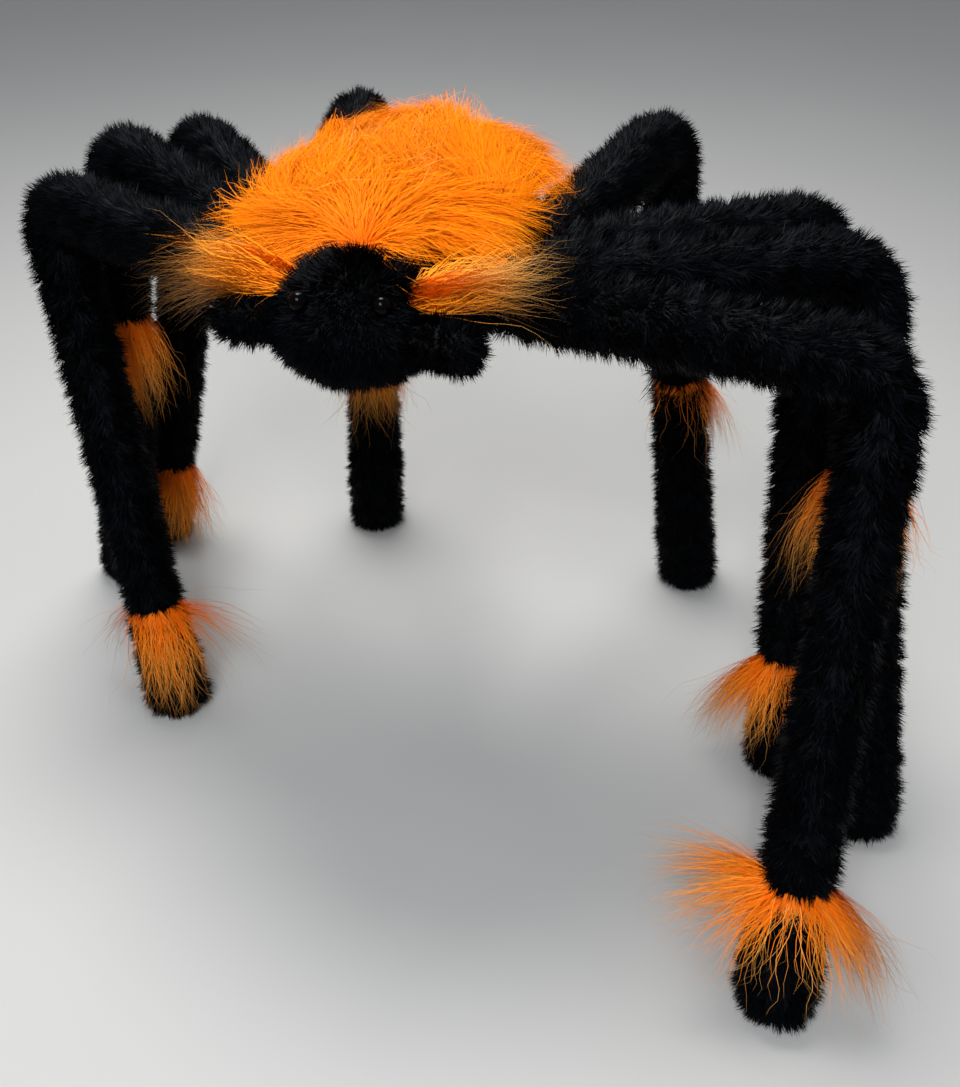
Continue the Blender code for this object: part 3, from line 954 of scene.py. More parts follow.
class Workbench:
    """Holds the finishes and turns skins and hairs into pieces that ride on the spider."""

    def __init__(self) -> None:
        """Builds each shared group and each material once."""
        colour, knit = hair_colour_group(), knit_group()
        hairs = (BLACK_PILE, ORANGE_HAIR, BAND_HAIR, GOLDEN_HAIR, BROWN_WISP)
        cloths = (BLACK_CLOTH, ORANGE_CLOTH)
        self.materials = {finish: finish.material(colour) for finish in hairs}
        self.materials |= {finish: finish.material(knit) for finish in cloths}
        self.dome = DomeFinish()
        self.materials[self.dome] = self.dome.material()
        self.salt = 0
        self.hair_triangles = 0

    def piece(self, mesh: bpy.types.Mesh, finish: Finish) -> bpy.types.Object:
        """Links a mesh as a piece with its finish, riding on the spider's one body.

        Args:
            mesh: the piece's mesh, in place.
            finish: its finish.

        Returns:
            The new object, named as its mesh.
        """
        mesh.materials.append(self.materials[finish])
        piece = bpy.data.objects.new(mesh.name, mesh)
        bpy.context.scene.collection.objects.link(piece)
        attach(piece, ROOT)
        return piece

    def stuffed(
        self, name: str, skin: Skin, finish: ClothFinish, nodes: list[str]
    ) -> bpy.types.Object:
        """A stuffed skin that stands for nodes of the model and hides them.

        Args:
            name: the piece's name.
            skin: its surface.
            finish: its cloth.
            nodes: the model's nodes that it replaces.

        Returns:
            The stuffed piece.
        """
        piece = self.piece(skin.mesh(name), finish)
        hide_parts(*nodes)
        return piece

    def hairs(
        self,
        name: str,
        roots: Roots,
        pile: Pile,
        finish: HairFinish,
        seed: int,
        settled: Settling | None = None,
    ) -> bpy.types.Object:
        """Grows one pile from its roots and links it.

        Args:
            name: the piece's name.
            roots: where its hairs grow.
            pile: how they grow.
            finish: their colours.
            seed: where the differences from hair to hair start.
            settled: what moves the hairs' points after they have grown, if anything does.

        Returns:
            The pile's object.
        """
        self.salt += SALTS_PER_PILE
        ribbons = grown(roots, pile, np.random.default_rng(seed), self.salt)
        if settled is not None:
            ribbons.lines = settled(ribbons.lines)
        piece = self.piece(ribbons.mesh(name), finish)
        triangles = len(roots.place) * (2 * pile.segments - 1)
        self.hair_triangles += triangles
        log.info("%s: %d hairs, %d triangles", name, len(roots.place), triangles)
        return piece

    def pelt(
        self, name: str, skin: Skin, pile: Pile, finish: HairFinish, seed: int
    ) -> bpy.types.Object:
        """A pile that covers a whole skin."""
        roots = scattered(skin, pile, np.random.default_rng(seed))
        return self.hairs(name, roots, pile, finish, seed + 1)


def resampled(path: Array, step: float) -> Array:
    """The same path with its points evenly spaced, read between the old ones by running length."""
    lengths = np.linalg.norm(np.diff(path, axis=0), axis=1)
    running = np.concatenate([[0.0], np.cumsum(lengths)])
    stops = np.linspace(0.0, running[-1], max(3, int(round(running[-1] / step)) + 1))
    return np.stack([np.interp(stops, running, path[:, axis]) for axis in range(3)], axis=-1)


def tube_rings(path: Array, radii: Array, level: Array, around: int) -> tuple[Array, Array]:
    """Rings round a path that bends in one plane.

    A ring's point is the path's point plus the radius times the cosine of its turn along the inside of
    the bend, plus the radius times the sine along the plane's normal.

    Args:
        path: the middle line.
        radii: the radius of each ring, or of each of its points.
        level: the normal of the plane in which the path bends.
        around: how many points a ring has.

    Returns:
        The rings, and the turn of each of their points.
    """
    tangent = unit(np.gradient(path, axis=0))
    inside = unit(np.cross(level, tangent))
    turn = np.linspace(0, FULL_TURN, around, endpoint=False)
    radii = np.broadcast_to(radii.reshape(len(path), -1), (len(path), around))
    spokes = inside[:, None] * np.cos(turn)[None, :, None] + level * np.sin(turn)[None, :, None]
    return path[:, None] + spokes * radii[..., None], turn


def round_end(
    centre: Array, axis: Array, radius: float, steps: int = 6, turns: tuple[float, float] = (12, 86)
) -> tuple[Array, Array]:
    """Path points and radii of a half ball: the axis times the sine and the radius times the cosine.

    Args:
        centre: the ball's middle.
        axis: the way that its round side faces.
        radius: its radius.
        steps: how many rings it has.
        turns: the first and the last ring's turn from the ball's widest place, in degrees.

    Returns:
        The rings' middles and their radii.
    """
    turn = np.radians(np.linspace(*turns, steps))
    return centre + axis * (radius * np.sin(turn))[:, None], radius * np.cos(turn)


@dataclass(frozen=True)
class Sweep:
    """A side that a band's hair is blown to.

    Attributes:
        side: which side, in degrees from the spider's left towards its front.
        lift: how far the hair stands up there, in degrees.
        width: how wide the lock's roots spread round the leg, in degrees.
        drag: how much the hair beside it is drawn round the leg towards it.
    """

    side: float
    lift: float
    width: float = 60.0
    drag: float = 0.0

    def share(self, angle: Array) -> Array:
        """How much of the sweep a root at each angle takes: a bell of the angle between them."""
        apart = (angle - math.radians(self.side) + math.pi) % FULL_TURN - math.pi
        return bump(apart, 0.0, math.radians(self.width))


class BandPlace(Enum):
    """Where a leg's band is sewn in: its height above the toe."""

    ANKLE = 0.084
    SHIN = 0.285
    REAR = 0.215


@dataclass
class Leg:
    """One wired leg: a stuffed upper tube, an orange band and a stuffed lower tube.

    Attributes:
        name: the leg's name in the model.
        side: 1 on the spider's left and -1 on its right.
        rank: 0 for the front pair to 3 for the rear pair.
        heading, rise: the thigh's turn forward and its slope, in degrees.
        knee_shift: how much further out the wire is bent.
        shin_heading: where the shin leans, in degrees.
        band: where the band is.
        sweeps: the sides that the band's hair is blown to.
        loose: what share of the long hairs it has away from them.
        overhang: how much longer the upper tube's pile is where it hangs over the band.
        fringe_share: what share of the band's short hairs it has.
        fullness: what share of the long hairs it has in them.
        radius: the tube's radius, out to the tips of its pile.
        pile_depth: how deep under those tips its skin lies.
        hip_height: how high all the hips are.
        hip_out, hip_forward: how far out and how far forward the hip of each rank is.
        thigh_length, shin_length: the wire's two straight parts, up to the corner of the knee.
        knee_rounding: how far from that corner the wire starts to bend.
        foot_swell: how much thicker the tube is at the toe.
        sole_share: how high the middle of the toe is, as a share of the radius.
        collar_height: how high the band's sewn strip is.
        resting_lift: how far the band's long hairs stand up where nothing blows them, in degrees.
        unblown_reach: their length there, as a share.
        fringe_reach: the short hairs' length, as a share of the long ones'.
        fringe_lift: how far the short hairs stand up, in degrees.
        weight: how far the pile that hangs over the band sinks, in radians for each time its usual
            length that it is longer.
        overhang_height: how far above the tube's end the longer pile starts.
        root_sunk: how far inside the body the tube starts.
        ring_step, around: how far apart the skin's rings are and how many points each has.
        unevenness: how uneven the stuffing is, as a share of the radius.
        fold_depth, fold_length, fold_spread: how deep the cloth folds inside the knee, as a share of
            the radius, how long the folds are and how far from the knee they reach.
        pinch_depth, pinch_spread: how deep and how far the tube is pinched there.
        hem, hem_sunk, hem_rings: how round the tube's lower end is, how far before the end its
            rounding starts and how many rings it has.
        cap_gap, cap_share: how far outside its first ring the tube is closed, and how wide it is there.
        seam_gap: how far the lower tube is from the band.
        cuff_swell, cuff_edge, cuff_rings: how far the band's strip bulges, how wide its edges are, as a
            share, and how many rings it has.
    """

    name: str
    side: int
    rank: int
    heading: float
    rise: float
    knee_shift: float
    shin_heading: float
    band: BandPlace
    sweeps: tuple[Sweep, ...]
    loose: float = 0.04
    overhang: float = 1.0
    fringe_share: float = 0.5
    fullness: float = 1.0
    radius: float = 0.0255
    pile_depth: float = 0.0062
    hip_height: float = 0.417
    hip_out: tuple[float, ...] = (0.105, 0.110, 0.110, 0.085)
    hip_forward: tuple[float, ...] = (0.056, 0.014, -0.020, -0.050)
    thigh_length: float = 0.2012
    shin_length: float = 0.4184
    knee_rounding: float = 0.034
    foot_swell: float = 1.08
    sole_share: float = 0.6
    collar_height: float = 0.014
    resting_lift: float = -3.0
    unblown_reach: float = 0.80
    fringe_reach: float = 0.15
    fringe_lift: float = 4.0
    weight: float = 0.36
    overhang_height: float = 0.012
    root_sunk: float = 0.024
    ring_step: float = 0.005
    around: int = 28
    unevenness: float = 0.045
    fold_depth: float = 0.10
    fold_length: float = 0.016
    fold_spread: float = 0.030
    pinch_depth: float = 0.12
    pinch_spread: float = 0.022
    hem: float = 0.006
    hem_sunk: float = 0.004
    hem_rings: int = 3
    cap_gap: float = 0.002
    cap_share: float = 0.3
    seam_gap: float = 0.001
    cuff_swell: float = 0.0028
    cuff_edge: float = 0.5
    cuff_rings: int = 9

    def __post_init__(self) -> None:
        """Works out the hip, the knee and the toe.

        The toe is where a shin of its length meets the floor: the shin leans out by the root of its
        length's square less the square of its drop.
        """
        place = [self.side * self.hip_out[self.rank], -self.hip_forward[self.rank], self.hip_height]
        self.hip = np.array(place) + STANCE_SHIFT
        self.thigh = direction(self.side, self.heading, self.rise)
        self.knee = self.hip + (self.thigh_length + self.knee_shift) * self.thigh
        drop = self.knee[2] - self.sole_share * self.radius
        lean = math.sqrt((self.shin_length - self.knee_shift) ** 2 - drop**2)
        self.toe = self.knee + lean * direction(self.side, self.shin_heading, 0) + drop * DOWN
        self.shin = unit(self.toe - self.knee)
        self.level = unit(np.cross(self.thigh, self.shin))
        self.band_top = self.toe - self.shin * self.band.value
        self.seed = 1000 + 100 * self.rank + 50 * (self.side > 0)

    def middle_line(self) -> Array:
        """The wire's line from inside the body to the band, with a quadratic bend at the knee."""
        before = self.knee - self.thigh * self.knee_rounding
        after = self.knee + self.shin * self.knee_rounding
        share = np.linspace(0, 1, 15)[:, None]
        bend = (1 - share) ** 2 * before + 2 * share * (1 - share) * self.knee + share**2 * after
        root_end = self.hip - self.thigh * self.root_sunk
        return resampled(np.concatenate([[root_end], bend, [self.band_top]]), self.ring_step)

    def stuffing(self, path: Array, seed: int) -> tuple[Array, Array]:
        """The skin's radius all round each ring.

        The plain radius has uneven stuffing and a pinch inside the knee, where the cloth also
        folds in ripples that die away with the distance from it.

        Args:
            path: the middle line.
            seed: where the stuffing's unevenness starts.

        Returns:
            The radii as rings x around, and each ring's distance along the path.
        """
        rng = np.random.default_rng(seed)
        along = np.concatenate([[0.0], np.cumsum(np.linalg.norm(np.diff(path, axis=0), axis=1))])
        turn = np.linspace(0, FULL_TURN, self.around, endpoint=False)[None, :]
        uneven = 1 + self.unevenness * ripples(along[:, None], turn, rng)
        radii = (self.radius - self.pile_depth) * uneven
        from_knee = np.linalg.norm(path - self.knee, axis=1)[:, None]
        inner = np.maximum(0.0, np.cos(turn))
        folds = self.fold_depth * np.cos(FULL_TURN * from_knee / self.fold_length)
        folds = folds * bump(from_knee, 0.0, self.fold_spread)
        pinch = self.pinch_depth * bump(from_knee, 0.0, self.pinch_spread)
        return radii * (1 + inner * (folds - pinch)), along

    def upper_skin(self) -> Skin:
        """The stuffed tube from the body to the band, closed at both ends."""
        path = self.middle_line()
        radii, along = self.stuffing(path, self.seed)
        last = path[-1] - self.shin * self.hem_sunk
        end, end_radii = round_end(last, self.shin, self.hem, self.hem_rings)
        share = (end_radii / self.hem)[:, None]
        start = path[0] - self.thigh * self.cap_gap
        path = np.concatenate([[start], path, end])
        radii = np.concatenate([radii[:1] * self.cap_share, radii, radii[-1:] * share])
        points, _ = tube_rings(path, radii, self.level, self.around)
        flow = np.gradient(points, axis=0)
        flow[0] = self.thigh
        flow[-self.hem_rings :] = self.shin
        over = mix(1.0, self.overhang, ease((along - along[-1]) / self.overhang_height + 1.0))
        reach = np.concatenate([over[:1], over, np.full(self.hem_rings, over[-1])])[:, None]
        return Skin(points, flow, reach=np.broadcast_to(reach, points.shape[:2]))

    def lower_skin(self) -> Skin:
        """The stuffed tube from the band to the round toe, pressed flat where it stands."""
        top = self.band_top + self.shin * (self.collar_height + self.seam_gap)
        toe_depth, cap_share = 0.7 * self.pile_depth, 0.4
        radius = (self.radius - toe_depth) * self.foot_swell
        path = resampled(np.array([top, self.toe]), self.ring_step)
        radii, along = self.stuffing(path, self.seed + 7)
        swell = mix(1.0, radius / (self.radius - self.pile_depth), ease(along / along[-1]))
        radii = radii * swell[:, None]
        end, end_radii = round_end(self.toe, self.shin, radius)
        toe_radii = np.broadcast_to(end_radii[:, None], (len(end), self.around))
        path = np.concatenate([[top - self.shin * self.seam_gap], path, end])
        radii = np.concatenate([radii[:1] * cap_share, radii, toe_radii])
        points, _ = tube_rings(path, radii, self.level, self.around)
        flow = np.gradient(points, axis=0)
        flow[0] = self.shin
        points[..., 2] = np.maximum(points[..., 2], 2 * FLOOR_CLEARANCE)
        return Skin(points, flow)

    def cuff_skin(self) -> Skin:
        """The sewn strip that the band's hair grows from: a low ring round the shin."""
        share = np.linspace(0, 1, self.cuff_rings)
        path = self.band_top + self.shin * (share * self.collar_height)[:, None]
        swell = self.radius - self.pile_depth + self.cuff_swell * np.sin(math.pi * share)
        swell[[0, -1]] *= self.cuff_edge
        points, _ = tube_rings(path, swell, self.level, self.around)
        return Skin(points, np.broadcast_to(self.shin, points.shape))

    def band_roots(self, cuff: Skin, pile: Pile, seed: int) -> Roots:
        """Roots on the cuff: long hair where a sweep takes it, and a short fringe elsewhere.

        The lift is the resting lift plus each sweep's lift times its share there. The flow is the
        shin's way plus each sweep's side times its drag and its share.

        Args:
            cuff: the band's sewn strip.
            pile: how the band's hair grows.
            seed: where the differences from root to root start.

        Returns:
            The roots of the hairs that are kept.
        """
        roots = scattered(cuff, pile, np.random.default_rng(seed))
        across = flattened(np.array([1.0, 0.0, 0.0]), self.shin)
        forward = np.cross(self.shin, across)
        forward = forward if forward[1] < 0 else -forward
        outward = flattened(roots.place - self.band_top, np.broadcast_to(self.shin, roots.place.shape))
        angle = np.arctan2(outward @ forward, outward @ across)
        lift = np.full(len(angle), self.resting_lift)
        blown = np.zeros(len(angle))
        flow = np.broadcast_to(self.shin, outward.shape)
        for sweep in self.sweeps:
            share = sweep.share(angle)
            turn = math.radians(sweep.side)
            side = across * math.cos(turn) + forward * math.sin(turn)
            lift = lift + sweep.lift * share
            flow = flow + side * (sweep.drag * share)[:, None]
            blown = np.maximum(blown, share)
        rng = np.random.default_rng(seed + 1)
        long_hair = rng.random(len(angle)) < mix(self.loose, self.fullness, blown)
        kept = long_hair | (rng.random(len(angle)) < self.fringe_share)
        long_reach = mix(self.unblown_reach, 1.0, blown)
        reach = roots.reach * np.where(long_hair, long_reach, self.fringe_reach)
        lift = np.where(long_hair, lift, self.fringe_lift)
        flow = flattened(flow, outward)
        return Roots(roots.place[kept], outward[kept], flow[kept], reach[kept], np.radians(lift[kept]))

    def dress(self, bench: Workbench) -> None:
        """Builds the leg's pieces: two stuffed tubes with their pile, and the band with its fur."""
        upper, lower, cuff = self.upper_skin(), self.lower_skin(), self.cuff_skin()
        bench.stuffed(f"{self.name}_upper_stuffed", upper, BLACK_CLOTH, [f"{self.name}_upper"])
        bench.stuffed(f"{self.name}_lower_stuffed", lower, BLACK_CLOTH, [f"{self.name}_lower"])
        roots = scattered(upper, LEG_PILE, np.random.default_rng(self.seed + 11))
        roots.lift = self.weight * (1 - roots.reach)
        bench.hairs(f"{self.name}_upper_pile", roots, LEG_PILE, BLACK_PILE, self.seed + 12)
        bench.pelt(f"{self.name}_lower_pile", lower, LEG_PILE, BLACK_PILE, self.seed + 13)
        strip = bench.piece(cuff.mesh(f"{self.name}_band_strip"), ORANGE_CLOTH)
        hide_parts(f"{self.name}_fur_band")
        roots = self.band_roots(cuff, BAND_FUR, self.seed + 17)
        bench.hairs(f"{self.name}_band_fur", roots, BAND_FUR, BAND_HAIR, self.seed + 19)
        roots = self.band_roots(cuff, BAND_WISPS, self.seed + 23)
        bench.hairs(f"{self.name}_band_wisps", roots, BAND_WISPS, BROWN_WISP, self.seed + 27)


# Name, side, rank, heading, rise, knee shift, shin heading, band and sweeps.
LEGS = (
    Leg(
        "left_leg_1", 1, 0, 0, -3, 0.001, 86, BandPlace.ANKLE,
        (Sweep(172, 98, 46, 1.6), Sweep(8, 34, 44, 1.4)),
    ),
    Leg("left_leg_2", 1, 1, -26, -1, 0.001, 53, BandPlace.SHIN, (Sweep(138, 13, 78),)),
    Leg("left_leg_3", 1, 2, -43, -3, 0.001, 73, BandPlace.ANKLE, (Sweep(165, 34, 52, 0.6),)),
    Leg(
        "left_leg_4", 1, 3, -77, 6, -0.008, -4, BandPlace.REAR,
        (Sweep(-12, 5, 26),), loose=0.015, overhang=2.6, fringe_share=0.10,
    ),
    Leg(
        "right_leg_1", -1, 0, -22, -1, 0.003, 133, BandPlace.ANKLE,
        (Sweep(46, 3, 50, 0.7), Sweep(188, 46, 18), Sweep(-8, 62, 18)), fullness=0.46,
    ),
    Leg(
        "right_leg_2", -1, 1, -32, 4, -0.004, 2, BandPlace.SHIN,
        (Sweep(50, 3, 52),), fullness=0.8,
    ),
    Leg("right_leg_3", -1, 2, -46, 1, 0.0, 4, BandPlace.ANKLE, (Sweep(30, 10, 50),)),
    Leg("right_leg_4", -1, 3, -76, 3.5, 0.004, 31, BandPlace.REAR, (Sweep(60, 4, 55),)),
)


def ball_units(rings: int, around: int, last: float = 87.0) -> Array:
    """Unit vectors over a ball, as rings from just off its lower pole to just off its upper pole.

    Args:
        rings: how many rings there are.
        around: how many points a ring has.
        last: how far from the ball's widest ring the last ones are, in degrees.

    Returns:
        The vectors, as rings x around x 3.
    """
    height = np.radians(np.linspace(-last, last, rings))[:, None]
    turn = np.linspace(0, FULL_TURN, around, endpoint=False)[None, :]
    level = np.cos(height)
    parts = [level * np.cos(turn), level * np.sin(turn), np.sin(height) + 0 * turn]
    return np.stack(parts, axis=-1)


def near_way(units: Array, way: tuple[float, float, float], width: float) -> Array:
    """A bell of the distance between unit vectors and the unit vector of a way."""
    return bump(np.linalg.norm(units - unit(np.array(way)), axis=-1), 0.0, width)


@dataclass
class Head:
    """The round stuffed head with its two domed eyes.

    Attributes:
        centre: the head's middle.
        half: its half sizes, out to the tips of its pile.
        crown_taper: how much narrower it is at its crown.
        pile_depth: how deep under those tips its skin lies.
        unevenness: how uneven its stuffing is, as a share of its size.
        muzzle_way, muzzle_swell, muzzle_width: where the muzzle is, how far it swells and how wide.
        crown_way, crown_reach, crown_width: where the pile stands up on the crown, and how much longer
            and how wide.
        brow_way, brow_reach, brow_width: the same over the left tuft's root.
        seed: where its unevenness starts.
    """

    centre: Array = field(default_factory=lambda: HEAD_CENTRE + STANCE_SHIFT)
    half: tuple[float, float, float] = (0.057, 0.048, 0.042)
    crown_taper: float = 0.08
    pile_depth: float = 0.0058
    unevenness: float = 0.022
    muzzle_way: tuple[float, float, float] = (0.0, -0.90, -0.42)
    muzzle_swell: float = 0.05
    muzzle_width: float = 0.42
    crown_way: tuple[float, float, float] = (0.05, -0.10, 1.0)
    crown_reach: float = 0.6
    crown_width: float = 0.45
    brow_way: tuple[float, float, float] = (0.66, -0.02, 0.70)
    brow_reach: float = 1.1
    brow_width: float = 0.30
    seed: int = 3000

    def skin(self) -> Skin:
        """A ball stretched to its half sizes, narrowed towards the crown, with a full muzzle.

        The pile is brushed down from the crown and out to the sides. It stands longer on the crown
        and over the left tuft's root, and leaves the eyes free.
        """
        units = ball_units(40, 48)
        narrow = 1.0 - self.crown_taper * np.maximum(0.0, units[..., 2])
        shaped = units * np.stack([narrow, np.ones_like(narrow), np.ones_like(narrow)], axis=-1)
        rng = np.random.default_rng(self.seed)
        turn = np.arctan2(units[..., 1], units[..., 0])
        uneven = 1 + self.unevenness * ripples(units[..., 2] * 0.06, turn, rng)
        muzzle = near_way(units, self.muzzle_way, self.muzzle_width)
        uneven = uneven + self.muzzle_swell * muzzle
        points = self.centre + shaped * (np.array(self.half) - self.pile_depth) * uneven[..., None]
        flow = units * np.array([1.5, 0.0, 0.0]) + np.array([0.0, -0.35, -0.95])
        crown = near_way(units, self.crown_way, self.crown_width)
        brow = near_way(units, self.brow_way, self.brow_width)
        reach = 1 + self.crown_reach * crown + self.brow_reach * brow
        cover = np.ones(units.shape[:2])
        for word, _ in SIDES:
            low, high = (np.array(corner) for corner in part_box(f"{word}_eye"))
            away = np.linalg.norm(points - (low + high) / 2, axis=-1) / ((high - low)[0] / 2)
            cover = cover * ease((away - 0.92) / 0.25)
            reach = reach * mix(0.84, 1.0, ease((away - 1.1) / 1.2))
        return Skin(points, flow, cover, reach)

    def eye(self, word: str) -> Skin:
        """One domed eye: a ball a little flatter to the front, with a low rim where it is set in."""
        low, high = (np.array(corner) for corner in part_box(f"{word}_eye"))
        radius, centre = (high - low)[0] / 2, (low + high) / 2
        units = ball_units(24, 36)
        forward = unit((centre - self.centre) * np.array([1.0, 1.0, 0.4]))
        side = unit(np.cross(np.array([0.0, 0.0, 1.0]), forward))
        up = np.cross(forward, side)
        depth = units[..., 2]
        rim = 1 + 0.07 * bump(depth, -0.12, 0.10)
        parts = units[..., :1] * side * rim[..., None] + units[..., 1:2] * up * rim[..., None]
        return Skin(centre + radius * (parts + depth[..., None] * forward * 0.98), units)

    def dress(self, bench: Workbench) -> None:
        """Builds the stuffed head, its pile and the eyes."""
        skin = self.skin()
        bench.stuffed("head_stuffed", skin, BLACK_CLOTH, ["head"])
        bench.pelt("head_pile", skin, HEAD_PILE, BLACK_PILE, self.seed + 11)
        for word, _ in SIDES:
            dome = bench.piece(self.eye(word).mesh(f"{word}_eye_dome"), bench.dome)
            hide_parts(f"{word}_eye")


@dataclass
class Palp:
    """A short plush nub beside the jaw.

    Attributes:
        word, side: which side, as a word and as 1 on the spider's left or -1 on its right.
        root_end, tip: the middles of its two ends, on the left side.
        radius: its radius, out to the tips of its pile.
        pile_depth: how deep under those tips its skin lies.
    """

    word: str
    side: int
    root_end: tuple[float, float, float] = (0.036, -0.106, 0.409)
    tip: tuple[float, float, float] = (0.070, -0.119, 0.4125)
    radius: float = 0.0175
    pile_depth: float = 0.0055

    def dress(self, bench: Workbench) -> None:
        """Builds the stuffed nub and its pile."""
        mirrored = np.array([self.side, 1.0, 1.0])
        start = np.array(self.root_end) * mirrored + STANCE_SHIFT
        tip = np.array(self.tip) * mirrored + STANCE_SHIFT
        axis = unit(tip - start)
        radius = self.radius - self.pile_depth
        end, end_radii = round_end(tip, axis, radius * 1.04)
        path = resampled(np.array([start, tip]), 0.004)
        radii = np.concatenate([np.full(len(path), radius), end_radii])
        points, _ = tube_rings(np.concatenate([path, end]), radii, unit(np.cross(axis, DOWN)), 24)
        skin = Skin(points, np.gradient(points, axis=0))
        seed = 3500 + 100 * (self.side > 0)
        bench.stuffed(f"{self.word}_palp_stuffed", skin, BLACK_CLOTH, [f"{self.word}_palp"])
        bench.pelt(f"{self.word}_palp_pile", skin, HEAD_PILE, BLACK_PILE, seed)


